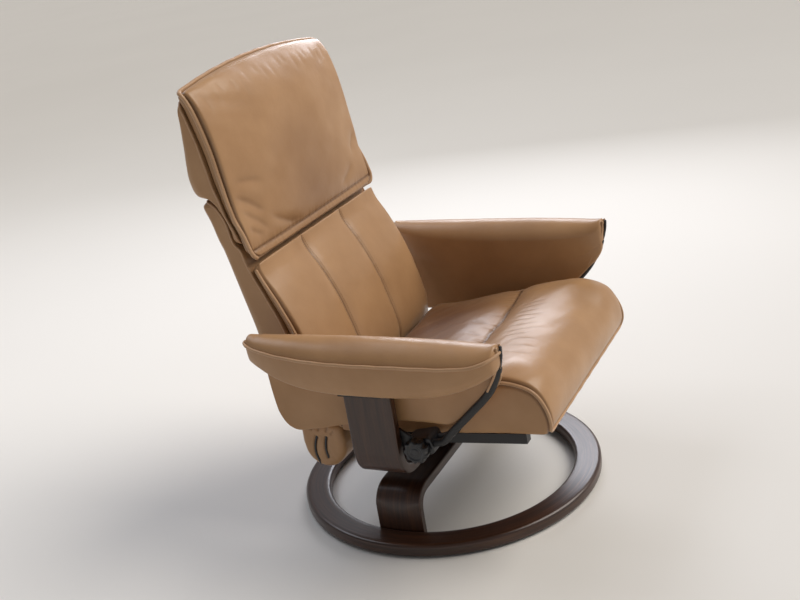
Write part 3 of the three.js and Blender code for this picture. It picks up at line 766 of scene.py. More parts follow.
headShellLook = {
    "rows": [
        [270, 672.6, 270, 672.6], [265.6, 680, 278, 676], [268.6, 700, 281, 704], [281, 731, 295, 743],
        [290.5, 770, 322, 771], [296.8, 798, 356, 777], [302.4, 832, 368, 806], [308.8, 870, 366, 838],
        [317, 906, 359, 886], [326, 938, 353, 925], [335, 964, 349, 958], [343, 978, 343, 978]],
    "halfWidth": 277, "lowCorner": 22, "highCorner": 26, "ring": (0.96, 0.38, 8, 4), "cap": 4,
}

seat = slabObject("seat_upholstery", seatLook)
backPad = slabObject("back_pad", backLook)
backShell = slabObject("back_rear_panel", backShellLook)
headPad = slabObject("headrest_pad", headLook)
headShell = slabObject("headrest_rear_panel", headShellLook)
print("slabs laid out")


def heldShare(made, frontFrom, seam=None, edge=0.975, ends=0.02):
    # 1 where the cover is sewn or lies on something: its sides, its rear, its two ends and its seam.
    across, along, depth = (readValues(made.data, key) for key in ("across", "along", "depth"))
    held = (np.abs(across) > edge) | (depth < frontFrom) | (np.minimum(along, 1 - along) < ends)
    if seam:
        held = held | seam(*(readPoints(made.data) / mm).T)
    return held.astype(float)


crownLook = {"rounds": 14, "spread": 0.65, "height": 1.25}


def capNear(made, held, cap, look=crownLook):
    # The cap grows with the distance from what is held, so that pads crown between their seams.
    free = 1 - held
    for _ in range(look["rounds"]):
        mean = neighbourMean(made.data, free[:, None])[:, 0]
        free = (free * (1 - look["spread"]) + look["spread"] * mean) * (1 - held)
    return cap * mm * np.clip(free * look["height"], 0, 1)


def seatSeamY(x):
    # The seam across the seat bows towards the rear at its two sides: y in mm as a function of x in mm.
    return np.interp(np.abs(x), [0, 40, 226, 268], [-143, -147, -133, -122])


pads = []
for made, look, frontFrom, seam in (
        (seat, seatLook, 0.35, lambda x, y, z: (np.abs(y - seatSeamY(x)) < 3.2) & (z > 310)),
        (backPad, backLook, 0.4, lambda x, y, z: (np.abs(np.abs(x) - 90) < 3) & (y < 250)),
        (headPad, headLook, 0.36, lambda x, y, z: (np.abs(z - 657) < 3.2) & (y < 252))):
    held = heldShare(made, frontFrom, seam)
    pads.append((made, held, capNear(made, held, look["cap"]), 4.0))
for made, look in ((backShell, backShellLook), (headShell, headShellLook)):
    held = np.maximum(heldShare(made, -1, edge=0.96), readValues(made.data, "depth") > 0.5).astype(float)
    pads.append((made, held, capNear(made, held, look["cap"]), 3.0))


# Armrests: one cover runs from the piping over the crown, down the inner wall and round the hanging panel.

armLook = {
    "middleX": 356, "middleY": -37, "halfLength": 276, "halfWidth": 51, "tipHalfWidth": 12,
    "wallLean": 0.86, "bottom": 401.3, "endRise": 58, "piping": 475, "tipPiping": 498,
    "crown": 35, "corner": 12, "panelThick": 11, "panelRear": 214, "panelRound": 8,
    "nose": 9, "cap": 7, "innerPower": 4.2, "outerPower": 7.5, "rearPower": 2.1,
    "panelLow": [
        [-314, 462], [-310, 446], [-303, 428], [-292, 412], [-276, 396], [-221, 347], [-177, 315],
        [-120, 315], [-40, 313], [60, 298], [140, 285], [178, 284], [194, 297], [206, 324],
        [214, 356]],
}


def armFullness(look, s, front="innerPower"):
    # Widest in the front half: the front tip rounds off quickly, more so outside, the rear tapers slowly.
    return np.clip(1 - np.abs(s) ** np.where(s < 0, look[front], look["rearPower"]), 0, 1) ** 0.62


def armHalf(look, s, front="innerPower"):
    return look["tipHalfWidth"] + (look["halfWidth"] - look["tipHalfWidth"]) * armFullness(look, s, front)


def armPipingHeight(look, s):
    return look["tipPiping"] + (look["piping"] - look["tipPiping"]) * armFullness(look, s, "outerPower")


def armSections(look):
    # One row of ring points per station: crown, inner wall, panel down, panel up, underside, outer wall.
    s = -np.cos(np.linspace(0, np.pi, 96))
    nearPanelEnd = look["panelRear"] + np.array([-9, -7, -5, -3.5, -2, -1, 0, 0.6])
    y = np.unique(np.round(np.concatenate([look["middleY"] + look["halfLength"] * s, nearPanelEnd]), 2))
    s = ((y - look["middleY"]) / look["halfLength"])[:, None]
    fullness, half, outerHalf = armFullness(look, s), armHalf(look, s), armHalf(look, s, "outerPower")
    foot, outerFoot = half * look["wallLean"], outerHalf * look["wallLean"]
    low = look["bottom"] + look["endRise"] * np.abs(s) ** 3.2
    piping = armPipingHeight(look, s)
    lowLine = throughPoints(look["panelLow"], 200)
    panelLow = np.interp(y, lowLine[:, 0], lowLine[:, 1])[:, None]
    t = np.clip((y[:, None] - look["panelRear"] + look["panelRound"]) / look["panelRound"], 0, 1)
    panelLow = np.minimum(panelLow + (low - panelLow) * (1 - np.sqrt(1 - t * t)), low - 1.5)
    u = np.linspace(1, -1, 27)[None]
    down, panelDown, under = (np.linspace(0, 1, count)[None, 1:] for count in (13, 19, 11))
    up = np.linspace(0, 1, 12)[None, 1:-1]
    turn = quarterTurn(6)[None, 1:]
    edgeTurn = np.linspace(0, np.pi, 7)[None, 1:-1]
    crown = look["crown"] * (0.35 + 0.65 * fullness) * np.clip(1 - u * u, 0, 1) ** 0.75
    lean = 1 - (1 - look["wallLean"]) * down ** 1.7
    inner, outer = -foot + 0.6, -foot + look["panelThick"]
    radius = look["panelThick"] / 2
    corner = np.minimum(look["corner"], foot * 0.5)
    cornerX = outerFoot - corner
    panelEnd = np.minimum(panelLow + radius, low - 1)
    parts = [np.broadcast_arrays(x, z) for x, z in (  # x from the armrest's middle, and z
        (np.where(u > 0, outerHalf, half) * u, piping + crown),
        (-half * lean, piping + (low - piping) * down),
        (inner, low + (panelEnd - low) * panelDown),
        (inner + radius - radius * np.cos(edgeTurn), panelEnd - (panelEnd - panelLow) * np.sin(edgeTurn)),
        (outer, panelEnd + (low - panelEnd) * panelDown),
        (outer + (cornerX - outer) * under, low),
        (cornerX + corner * np.sin(turn), low + corner - corner * np.cos(turn)),
        (outerFoot + (outerHalf - outerFoot) * up ** 0.6, low + corner + (piping - low - corner) * up))]
    kinds = np.concatenate([np.full(x.shape[1], k) for k, (x, _) in enumerate(parts)])
    x, z = (np.concatenate([part[k] for part in parts], 1) for k in (0, 1))
    fromTip = np.minimum(y - y[0], y[-1] - y)[:, None] / look["nose"]
    shrink = np.sqrt(np.clip(1 - (1 - np.clip(fromTip, 0, 1)) ** 2, 0, 1))
    middleZ = 0.5 * (piping + low) + 5
    grid = asGrid(look["middleX"] + x * shrink, y[:, None], middleZ + (z - middleZ) * shrink)
    return grid, kinds, y


armGrid, armKinds, armY = armSections(armLook)
armLeft = gridObject("armrest_upholstery_left", armGrid, {
    "kind": armKinds[None] + np.zeros((len(armY), 1)), "station": armY[:, None] + 0.0 * armKinds[None]})
kind = readValues(armLeft.data, "kind")
station = readValues(armLeft.data, "station")
armPoints = readPoints(armLeft.data) / mm
armHeld = ((kind > 0.5) & (kind < 6.5)) | (station < armY[3]) | (station > armY[-4])
armPipingZ = armPipingHeight(armLook, (station - armLook["middleY"]) / armLook["halfLength"])
armHeld = (armHeld | ((np.abs(armPoints[:, 2] - armPipingZ) < 4) & (armPoints[:, 0] > 352))).astype(float)
pads.append((armLeft, armHeld, capNear(armLeft, armHeld, armLook["cap"]), 4.0))

swell(pads, clothLook)
print("covers swelled")


# Seams, gathers, creases, wear and painted shade, read off the photograph and mirrored or spread where it
# shows one side.

seatSeam = [[x, float(seatSeamY(x))] for x in (-266, -226, -120, -40, 0, 40, 120, 226, 266)]
seatFields = [
    drawnLine(seatSeam, "top", 4.4, 3.4, 5.0, 21, 0.9, gather=0.2, seed=3),
    besidePiping(seatLook["edgePath"], 6, 2.2, 0.6),
    *creases("top", (
        ([[36, -138], [46, -104], [58, -70]], 0.7, 3.2, 1.4, 12, 0.22, 0.35),
        ([[-24, -136], [-14, -110], [-2, -84]], 0.5, 3.2, 1.2, 10, 0.2, 0.35),
        ([[-110, -136], [-118, -102], [-116, -70]], 0.5, 3.2, 1.2, 12, 0.18, 0.35))),
    softHeaves(11, 0.8, 0.24),
]
for index, (x, y, length) in enumerate((
        (118, -205, 74), (94, -212, 96), (66, -208, 90), (42, -222, 110), (18, -214, 84), (-8, -228, 104),
        (-36, -236, 120), (-64, -230, 80), (-92, -250, 96), (-124, -262, 84), (-156, -270, 70))):
    line = [[x + 0.16 * length * u + 2.5 * math.sin(4 * u + index), y - length * u]
            for u in (-0.5, -0.2, 0.15, 0.5)]
    seatFields += creases("top", ((line, 0.5, 2.2, 0.6, 7, 0.2, 0.4),))
backFields = [
    drawnLine([[x, z] for z in (272, 400, 520, 634)], "front", 3.0, 2.0, 2.0, 13, 0.75,
              gather=0.1, seed=seed)
    for x, seed in ((-90, 4), (90, 6))]
backFields += [
    besidePiping(backLook["edgePath"], 6, 1.6, 0.45),
    *creases("front", (
        ([[-180, 300], [-120, 292], [-60, 297]], 0.9, 4.0, 1.5, 14, 0.15, 0.3),
        ([[200, 306], [130, 296], [70, 300]], 0.9, 4.0, 1.5, 14, 0.15, 0.3))),
    softHeaves(21, 0.7, 0.26),
]
headSeam = [[-276, 659], [-180, 658], [-60, 657], [60, 657], [180, 658], [276, 659]]
headFields = [
    drawnLine(headSeam, "front", 3.0, 2.2, 2.4, 11, 0.75, gather=0.3, seed=8),
    besidePiping(headLook["edgePath"], 6.6, 2.6, 0.75),
    *creases("front", (
        ([[-272, 803], [-236, 799], [-196, 790], [-160, 776]], 0.9, 6.5, 2.4, 17, 0.16, 0.35),
        ([[-274, 776], [-246, 762], [-220, 745], [-186, 716]], 1.3, 6.0, 3.4, 17, 0.26, 0.3),
        ([[-268, 744], [-240, 726], [-214, 704], [-190, 676]], 1.0, 6.0, 2.8, 16, 0.2, 0.35),
        ([[-190, 716], [-150, 690], [-104, 670], [-58, 662]], 1.2, 6.0, 3.0, 15, 0.24, 0.35),
        ([[-262, 706], [-240, 692], [-214, 676]], 0.9, 5.5, 2.2, 14, 0.2, 0.35),
        ([[268, 776], [240, 756], [212, 724]], 0.8, 6.0, 2.2, 17, 0.14, 0.35),
        ([[206, 714], [160, 690], [118, 674]], 0.8, 6.0, 2.2, 15, 0.14, 0.35))),
    softHeaves(31, 1.0, 0.3),
]
for index in range(17):  # gathers that hang from the arched top
    x = -248 + 31 * index + 5 * math.sin(2.3 * index)
    top = 1006 - headLook["arch"][0] * (x / headLook["halfWidth"]) ** 2
    drop = 40 + 15 * math.sin(1.7 * index + 1)
    line = [[x, top], [x * 0.985 + 2, top - drop / 2], [x * 0.97, top - drop]]
    headFields += creases("front", ((line, 0.15, 4.0, 0.6, 9, 0.04, 0.45),))
shellFields = [
    drawnLine([[side * x, z] for x, z in ((150, 270), (150, 480), (158, 640), (160, 950))], "rear",
              2.6, 2.6, 1.6, 12, 0.7, gather=0.3, seed=40 + side) for side in (-1, 1)]
shellFields.append(softHeaves(41, 0.6, 0.3))

wearAndShadeLook = {
    "headPatch": (10, 718, 120, 58),  # x, z, half width and half height in mm
    "headSecond": (15, 815, 95, 60),
    # seat: how dark the seat's rear gets, worn and with painted shade from the back and the arms.
    "head": 0.4, "second": 0.6, "headBorder": 0.12, "seat": 0.95, "back": 0.22,
}


def wornPatch(x, z, patch):
    middleX, middleZ, halfX, halfZ = patch
    return np.exp(-((x - middleX) / halfX) ** 2 - ((z - middleZ) / halfZ) ** 2)


def stainedHead(points):
    # The patch darkened by heads, and the lower border that hands take hold of.
    x, z = points[:, 0] / mm, points[:, 2] / mm
    patch = wornPatch(x, z, wearAndShadeLook["headPatch"])
    second = wearAndShadeLook["second"] * wornPatch(x, z, wearAndShadeLook["headSecond"])
    ragged = 0.92 + 0.12 * waves(x * mm, 51, 0.16) * waves(z * mm, 53, 0.13)
    border = wearAndShadeLook["headBorder"] * smoothStep(-z, -700, -650)
    return np.clip(wearAndShadeLook["head"] * (patch + second) * ragged + border, 0, 1)


def wornAndShadedSeat(points):
    # Polished and browned where it is sat on, most between the middle and the rear; towards the rear the
    # darkening is also painted shade from the back and the arms.
    x, y = points[:, 0] / mm, points[:, 1] / mm
    patch = np.exp(-(x / 262) ** 6) * smoothStep(y, -235, 30)
    return np.clip(wearAndShadeLook["seat"] * patch * (0.92 + 0.12 * waves(x * mm + y * mm, 52, 0.14)), 0, 1)


def stainedBack(points):
    # Slightly browned low down, where the sitter leans.
    x, z = points[:, 0] / mm, points[:, 2] / mm
    return np.clip(wearAndShadeLook["back"] * np.exp(-(x / 200) ** 4 - ((z - 330) / 90) ** 2), 0, 1)


for made, fields, wearAndShadeOf, body, node, fill in (
        (seat, seatFields, wornAndShadedSeat, "seat", "seat_cushion", 0.85),
        (backPad, backFields, stainedBack, "back", "back_cushion", 0.8),
        (backShell, shellFields, None, "back", "back_shell", 0.95),
        (headPad, headFields, stainedHead, "headrest", "headrest_cushion", 0.8),
        (headShell, shellFields, None, "headrest", "headrest_shell", 0.95)):
    finishPad(made, fields, wearAndShadeOf)
    onChair(made, body, "leather", (node,), fill)
finishPad(armLeft, [softHeaves(61, 0.5, 0.22)])
bothSides(armLeft, "arms", "leather", ("armrest_left", "arm_panel_left"), 0.9)
print("leather sewn")


# Piping: a leather cord sewn into each edge, with its slight unevenness.

wanderLook = {"reach": 0.35, "length": 61}  # mm


def pipe(name, path, radius, body, closed=True, outward=None):
    # A closed piping goes round a middle piece. An open one is on the left and has its copy on the right.
    path = np.asarray(path, float)
    upward = unit(path - path.mean(0)) if outward is None else np.broadcast_to(outward, path.shape)
    distance = travelled(path)
    turns = round(distance[-1] / (wanderLook["length"] * mm))
    wander = wanderLook["reach"] * mm * np.sin(2 * np.pi * distance / distance[-1] * turns)
    made = tube(name, path + upward * wander[:, None], radius * mm, upward, pipingSheenLeather, 12, closed)
    place = onChair if closed else bothSides
    place(made, body, "leather")


pipe("seat_piping", seatLook["edgePath"], 3.4, "seat")
sidePath = backLook["edgePath"]
sidePath = sidePath[(sidePath[:, 0] > 0.2) & (sidePath[:, 2] < 0.616)]  # it ends under the headrest's lip
sidePath = sidePath[np.argsort(sidePath[:, 2])]
pipe("back_piping_left", sidePath, 3.6, "back", closed=False, outward=(1, 0, 0))
pipe("headrest_piping", headLook["edgePath"], 4.4, "headrest")
pipe("back_panel_piping", backShellLook["edgePath"], 2.6, "back")
pipe("headrest_panel_piping", headShellLook["edgePath"], 2.6, "headrest")


def armEdge(look):
    # The piped outer edge from the rear tip, along the outside, round the front nose.
    s = np.linspace(0.985, -0.985, 190)
    x = look["middleX"] + armHalf(look, s, "outerPower") + 1.2
    y = look["middleY"] + look["halfLength"] * s
    z = armPipingHeight(look, s)
    rear = np.array([[look["middleX"] + 2, y[0] + 6, z[0]], [look["middleX"] + 10, y[0] + 4.5, z[0]]])
    front = np.array([
        [look["middleX"] + 9, y[-1] - 3.6, z[-1]], [look["middleX"] + 2, y[-1] - 5.5, z[-1] + 1]])
    route = np.concatenate([rear, np.stack([x, y, z], 1)[2:-2:3], front])
    return evenly(throughPoints(route, 260), 260) * mm


pipe("armrest_piping_left", armEdge(armLook), 3.3, "arms", closed=False, outward=(0, 0, 1))
tipRoute = np.array([
    [356, -315, 503], [353, -314, 488], [350, -308, 464], [345, -298, 440], [339, -286, 420],
    [336, -277, 405]], float)
for index, shift in enumerate((-9, 9)):
    route = throughPoints(tipRoute + [shift, 3.5, 0], 60) * mm
    pipe(f"armrest_tip_piping_left_{index + 1}", route, 2.6, "arms", closed=False, outward=(1, 0, 0))

backFront = [[272, 341, 407, 490, 565, 633], [150, 118, 128, 155, 190, 238]]  # z, and y in front of the pad
for side, sign in (("left", 1), ("right", -1)):
    for tag, x in (("outer", 95), ("inner", 85)):
        line = np.array([[sign * x, np.interp(z, *backFront), z] for z in np.linspace(292, 622, 60)]) * mm
        stitchRow(f"back_stitches_{side}_{tag}", backPad, line, "back")
headLine = np.array([[x, 236, 662] for x in np.linspace(-262, 262, 120)]) * mm
stitchRow("headrest_stitches", headPad, headLine, "headrest")
seatLine = np.array([[x, seatSeamY(x) - 5, 385] for x in np.linspace(-255, 255, 120)]) * mm
stitchRow("seat_stitches", seat, seatLine, "seat")
print("piping and stitches laid")


# Lobes at the recline axle: padded leather drums under the back.

lobeLook = {
    "axle": (165, 206), "inner": 178, "outer": 270, "radius": 50, "top": 56, "halfTop": 52, "round": 15,
    "slots": [[[175, 236], [184, 214], [187, 192], [181, 166]],
              [[152, 236], [158, 216], [160, 198], [157, 178]]],
}


def lobeObject(name, look):
    # Radius over the angle, times a rounded profile: look's radius, or above the axle
    # ((sin / top)^8 + (cos / halfTop)^8)^(-1/8).
    theta = fullTurn(120)
    square = ((np.sin(theta) / look["top"]) ** 8 + (np.cos(theta) / look["halfTop"]) ** 8) ** (-1 / 8)
    radius, rounding = look["radius"], look["round"]
    r = radius + (np.maximum(square, radius) - radius) * smoothStep(np.sin(theta), -0.1, 0.2)
    turn = quarterTurn(7)
    inside = np.linspace(0.0, 1, 9)[:-1] * (radius - rounding)
    rim = radius - rounding + rounding * np.sin(turn)
    start, end = look["inner"] + rounding, look["outer"] - rounding
    across = np.linspace(start, end, 11)[1:-1]
    share = np.concatenate([inside, rim, np.full(len(across), radius), rim[::-1], inside[::-1]]) / radius
    x = np.concatenate([np.full(len(inside), look["inner"]), start - rounding * np.cos(turn), across,
                        end + rounding * np.cos(turn[::-1]), np.full(len(inside), look["outer"])])
    reach = share[:, None] * r
    y, z = look["axle"][0] + reach * np.cos(theta), look["axle"][1] + reach * np.sin(theta)
    return gridObject(name, asGrid(x[:, None], y, z))


lobe = lobeObject("lobe_cover_left", lobeLook)
# The two slots and the short creases are darkened in their grooves: painted shade, strongest in the slots.
finishPad(lobe, [
    *creases("side", [(slot, 3.5, 3.4, 1.5, 10, 0.9, 0.1) for slot in lobeLook["slots"]]),
    *creases("side", (
        ([[168, 258], [171, 245]], 1.6, 2.6, 1.0, 7, 0.4, 0.2),
        ([[147, 256], [153, 244]], 1.6, 2.6, 1.0, 7, 0.4, 0.2),
        ([[188, 258], [186, 246]], 1.4, 2.6, 1.0, 7, 0.4, 0.2),
        ([[132, 250], [142, 238]], 1.2, 2.6, 1.0, 7, 0.3, 0.2))),
    softHeaves(71, 0.5, 0.09)])
bothSides(lobe, "back", "leather", ("back_lobe_left",), 0.95)
for index, slot in enumerate(lobeLook["slots"]):
    line = throughPoints([[lobeLook["outer"] - 2.4, y, z] for y, z in slot], 40) * mm
    strip = tube(f"lobe_slot_left_{index + 1}", line, 2.2 * mm, (1, 0, 0), nylon, 10, flat=0.6)
    bothSides(strip, "back", "plastic")
print("lobes made")


# Bent wood: a rounded box section carried along a line, or turned round the swivel axis.

woodLook.update({
    "ringOuter": 347, "ringInner": 287, "ringBottom": 3, "ringTop": 31, "ringEdge": 8,
    "bandWidth": 105, "bandThick": 22, "bandEdge": 4.5,
    "archTop": 125, "archBend": 47,
    "beamBottom": 190, "beamHalf": 360, "beamBend": 61, "beamTop": 396, "beamY": -17,
})


def roundedBox(halfU, halfV, radius, cornerPoints=6, sideStep=6):
    # Closed outline with quarter circles at its corners: (u, v) = corner + radius * (cos, sin).
    arcs = []
    for quarter, (su, sv) in enumerate(((1, 1), (-1, 1), (-1, -1), (1, -1))):
        angle = quarterTurn(cornerPoints) + quarter * np.pi / 2
        arcs.append(np.stack([su * (halfU - radius) + radius * np.cos(angle),
                              sv * (halfV - radius) + radius * np.sin(angle)], 1))
    outline = []
    for arc, after in zip(arcs, arcs[1:] + arcs[:1]):
        side = after[0] - arc[-1]
        count = max(1, int(np.linalg.norm(side) / sideStep))
        outline += [arc, arc[-1] + side * np.linspace(0, 1, count + 1)[1:-1, None]]
    return np.concatenate(outline)


def bentLine(corners, bend, step=5):
    # Straight stretches joined by quadratic curves that start `bend` before each corner.
    corners = np.asarray(corners, float)
    pieces = [corners[:1]]
    for before, corner, after in zip(corners[:-2], corners[1:-1], corners[2:]):
        start, end = corner + unit(before - corner) * bend, corner + unit(after - corner) * bend
        t = np.linspace(0, 1, 24)[:, None]
        pieces.append((1 - t) ** 2 * start + 2 * t * (1 - t) * corner + t * t * end)
    line = np.concatenate(pieces + [corners[-1:]])
    return evenly(line, int(stepLengths(line).sum() / step))


def bentBand(name, corners, bend, middleY, look, room=None):
    # The section at each point of the (x, z) line: u goes through the layers and v across the board (Y).
    line = bentLine(corners, bend)
    section = roundedBox(look["bandThick"] / 2, look["bandWidth"] / 2, look["bandEdge"])
    tangent = unit(np.gradient(line, axis=0))
    through = np.stack([tangent[:, 1], -tangent[:, 0]], 1)
    capShares = np.array([0, 0.8, 0.97])  # the section shrinks to a point at each end, which closes it
    shrink = np.concatenate([capShares, np.ones(len(line)), capShares[::-1]])[:, None]
    pick = np.concatenate([[0, 0, 0], np.arange(len(line)), np.full(3, len(line) - 1)])
    distance = travelled(line)[pick][:, None]
    line, through = line[pick], through[pick]
    u, v = section[:, 0][None] * shrink, section[:, 1][None] * shrink
    grid = asGrid(line[:, :1] + through[:, :1] * u, middleY + v, line[:, 1:] + through[:, 1:] * u)
    if room:  # the feet end inside the ring: |x| is at most sqrt(room^2 - y^2)
        reach = np.sqrt((room * mm) ** 2 - grid[..., 1] ** 2)
        grid[..., 0] = np.clip(grid[..., 0], -reach, reach)
    return dress(gridObject(name, grid, {"woodPlace": asGrid(distance, u, v)}), wood, 40)


def woodRing(name, look):
    # Turned section: the outline (radius, z) carried round the axis; the layers lie one outside the other.
    outer, inner, low, high = (look[key] for key in ("ringOuter", "ringInner", "ringBottom", "ringTop"))
    middle = (outer + inner) / 2
    outline = roundedBox((outer - inner) / 2, (high - low) / 2, look["ringEdge"])
    outline = outline + [middle, (high + low) / 2]
    turn = fullTurn(240)[:, None]
    r, z = outline[:, 0][None], outline[:, 1][None]
    place = asGrid(middle * turn, r, z)
    return dress(gridObject(name, asGrid(r * np.cos(turn), r * np.sin(turn), z), {"woodPlace": place},
                            along=True), wood)


def bowCorners(halfX, ends, level):
    return [[-halfX, ends], [-halfX, level], [halfX, level], [halfX, ends]]


onChair(woodRing("foot_ring", woodLook), "foot", "wood", ("base_ring",))
halfThick = woodLook["bandThick"] / 2
archCorners = bowCorners(woodLook["ringInner"] - halfThick, woodLook["ringBottom"],
                         woodLook["archTop"] - halfThick)
arch = bentBand("foot_arch", archCorners, woodLook["archBend"], 0, woodLook, woodLook["ringInner"] - 0.3)
onChair(arch, "foot", "wood", ("base_arch",))
beamCorners = bowCorners(woodLook["beamHalf"] - halfThick, woodLook["beamTop"],
                         woodLook["beamBottom"] + halfThick)
beam = bentBand("arm_bow", beamCorners, woodLook["beamBend"], woodLook["beamY"], woodLook)
onChair(beam, "arms", "wood", ("arm_beam",))
print("wood bent")


# Metal and plastic

edgeCut = 0.5  # mm off each corner of a turned profile


def lathed(name, profile, material, body, slot, node, centre=(0, 0), steps=96):
    # The (radius, z) profile, with its corners cut, turned round a vertical axis.
    corners = np.asarray(profile, float)
    back = unit(corners[:-2] - corners[1:-1]) * edgeCut + corners[1:-1]
    ahead = unit(corners[2:] - corners[1:-1]) * edgeCut + corners[1:-1]
    outline = np.concatenate([corners[:1], np.stack([back, ahead], 1).reshape(-1, 2), corners[-1:]])
    turn = fullTurn(steps)[None]
    r, z = outline[:, :1], outline[:, 1:]
    grid = asGrid(centre[0] + r * np.cos(turn), centre[1] + r * np.sin(turn), z)
    onChair(dress(gridObject(name, grid), material, 30), body, slot, (node,))


postProfile = [[0, 125.1], [62, 125.1], [62, 131], [29, 131], [27, 134], [27, 182], [0, 182]]
collarProfile = [
    [27.7, 140], [37, 140], [37, 176], [42, 184], [58, 184], [58, 189.9], [27.7, 189.9], [27.7, 140]]
glideProfile = [[0, 0], [11, 0], [13, 1], [13, 2.7], [0, 2.7]]
lathed("swivel_post_turned", postProfile, steel, "foot", "steel", "swivel_post")
lathed("swivel_collar_turned", collarProfile, steel, "arms", "steel", "swivel_collar")
glideMiddle = 0.5 * (woodLook["ringOuter"] + woodLook["ringInner"])
for index in range(6):
    turn = (index + 0.5) * math.pi / 3
    lathed(f"glide_pad_{index + 1}", glideProfile, nylon, "foot", "plastic", f"floor_glide_{index + 1}",
           (glideMiddle * math.sin(turn), glideMiddle * math.cos(turn)), 40)

glideSlope = math.radians(12.5)
slopeCos, slopeSin = math.cos(glideSlope), math.sin(glideSlope)


def rodHeight(y):
    # The side rods' line falls to the rear and passes through the recline axle.
    axleY, axleZ = lobeLook["axle"]
    return axleZ + (axleY - y) * math.tan(glideSlope)


clampLook = {
    "y": -105, "halfLength": 30, "halfHeight": 19, "inner": 286, "outer": 337.7, "edge": 8,
    "stations": [  # distance across the chair, and the section's share of its full size
        [0, 0], [0, 0.93], [1.2, 0.97], [3, 0.99], [5, 1], [20, 1], [30, 1], [46, 1], [48.5, 0.99],
        [50.5, 0.97], [51.7, 0.93], [51.7, 0]],
    "ridges": 9, "ridge": 1.7, "ridgeFrom": 19, "ridgeFull": 24, "knobFrom": 338.1, "knobTop": 22.1,
    "knobRim": [[18, 0], [22.5, 0.8], [24.4, 3], [25, 6], [25, 16], [24.2, 19.5], [22.4, 21.9], [20, 22.8],
                [17.6, 22.5], [15.8, 21.2], [13, 20.6], [9.5, 20.8], [8.4, 21.6], [6, 22]],
}
clampY, clampZ = clampLook["y"], rodHeight(clampLook["y"])


def clampBlock(look):
    # Rounded box section (along the rod, up) carried across the chair, then turned to the rods' slope.
    outline = roundedBox(look["halfLength"], look["halfHeight"], look["edge"], sideStep=5)
    across, share = np.array(look["stations"]).T
    x = across / across[-1] * (look["outer"] - look["inner"]) + look["inner"]
    share = share[:, None]
    along, up = outline[:, 0] * share, outline[:, 1] * share
    y = clampY + along * slopeCos + up * slopeSin
    z = clampZ - along * slopeSin + up * slopeCos
    return dress(gridObject("clamp_block_left", asGrid(x[:, None], y, z)), nylon, 45)


def flatPlate(name, outline, x0, x1, edge, material):
    # A side view (y, z) given a thickness along X, with its edges rounded by a bevel.
    outline = np.asarray(outline, float)
    count = len(outline)
    vertices = np.concatenate([np.column_stack([np.full(count, x), outline]) for x in (x0, x1)]) * mm
    faces = [list(range(count)), list(range(2 * count - 1, count - 1, -1))]
    faces += [[i, (i + 1) % count, (i + 1) % count + count, i + count] for i in range(count)]
    made = makeObject(name, vertices, faces)
    bevel = made.modifiers.new("edge", "BEVEL")
    bevel.width, bevel.segments, bevel.limit_method = edge * mm, 3, "ANGLE"
    bevel.angle_limit = math.radians(35)
    baked(made)
    made.data.shade_smooth()
    return dress(made, material, 40)


def knob(look):
    # Radius = profile + ridge * cos(ridges * angle)^0.6 on the rim. The cap is dished, its middle raised.
    profile = np.concatenate([[[0, 0]], throughPoints(look["knobRim"], 60), [[0, look["knobTop"]]]])
    turn = fullTurn(144)[None]
    r, out = profile[:, :1], profile[:, 1:]
    rim = smoothStep(r, look["ridgeFrom"], look["ridgeFull"]) * smoothStep(out, 0.4, 3)
    wave = np.cos(look["ridges"] * turn)
    r = np.maximum(r - 0.4 + rim * (look["ridge"] * np.sign(wave) * np.abs(wave) ** 0.6), 0)
    y, z = clampY + r * np.cos(turn), clampZ + r * np.sin(turn)
    return dress(gridObject("hand_knob_left", asGrid(look["knobFrom"] + out, y, z)), nylon)


bothSides(clampBlock(clampLook), "arms", "plastic", ("clamp_left",))
low = 265  # mm, the bracket's lower edge
bracketOutline = [
    [clampY, clampZ - 14], [-69.5, low], [20, low], [28, low + 8], [28, low + 36], [20, low + 44],
    [-56, low + 44], [-69, low + 38], [clampY, clampZ + 14]]
bothSides(flatPlate("clamp_bracket_left", bracketOutline, 329.8, 337.6, 1.6, steel), "arms", "steel")
bothSides(knob(clampLook), "arms", "plastic", ("knob_left",))

forwardUp = np.array([0, -slopeCos, slopeSin])  # along the rods, towards the front
stayStart = np.array([325, clampY, clampZ]) + 30.3 * forwardUp
stayLine = throughPoints([
    stayStart, stayStart + 20 * forwardUp, [326, -177, 300], [330, -221, 343], [335, -276, 402],
    [346, -299, 444], [348, -303, 455]], 90) * mm
# A thin black strip up the armrest's nose between the tip's two pipings: a dark strap, and painted shade in
# the seam there.
strapAndShadeLine = throughPoints([
    [349, -305, 452], [351, -311, 470], [354, -315, 488], [355.5, -316, 502]], 40) * mm
# The side rod: out of the seat's rail, round a bend, along the glide line and back into the seat's side.
rodCorners = [[x, y, rodHeight(y)] for x, y in ((260.4, 22), (300, 22), (300, -162), (268.4, -162))]
rodLine = bentLine(rodCorners, 20, 4) * mm
for name, line, radius, upward, material, sides, body, slot, replaced in (
        ("stay_bar_left", stayLine, 8, (1, 0, 0), steel, 18, "arms", "steel", ("arm_stay_left",)),
        ("tip_strap_left", strapAndShadeLine, 3.2, (1, 0, 0), nylon, 12, "arms", "plastic", ()),
        ("side_rod_left_round", rodLine, 8, (0, 0, 1), steel, 24, "seat", "steel", ("side_rod_left",))):
    bothSides(tube(name, line, radius * mm, upward, material, sides), body, slot, replaced)
print("metal and plastic made")

for name in ("seat_frame", "headrest_axle", "arm_plate_left", "arm_plate_right"):
    dress(bpy.data.objects[name], steel)


# Studio

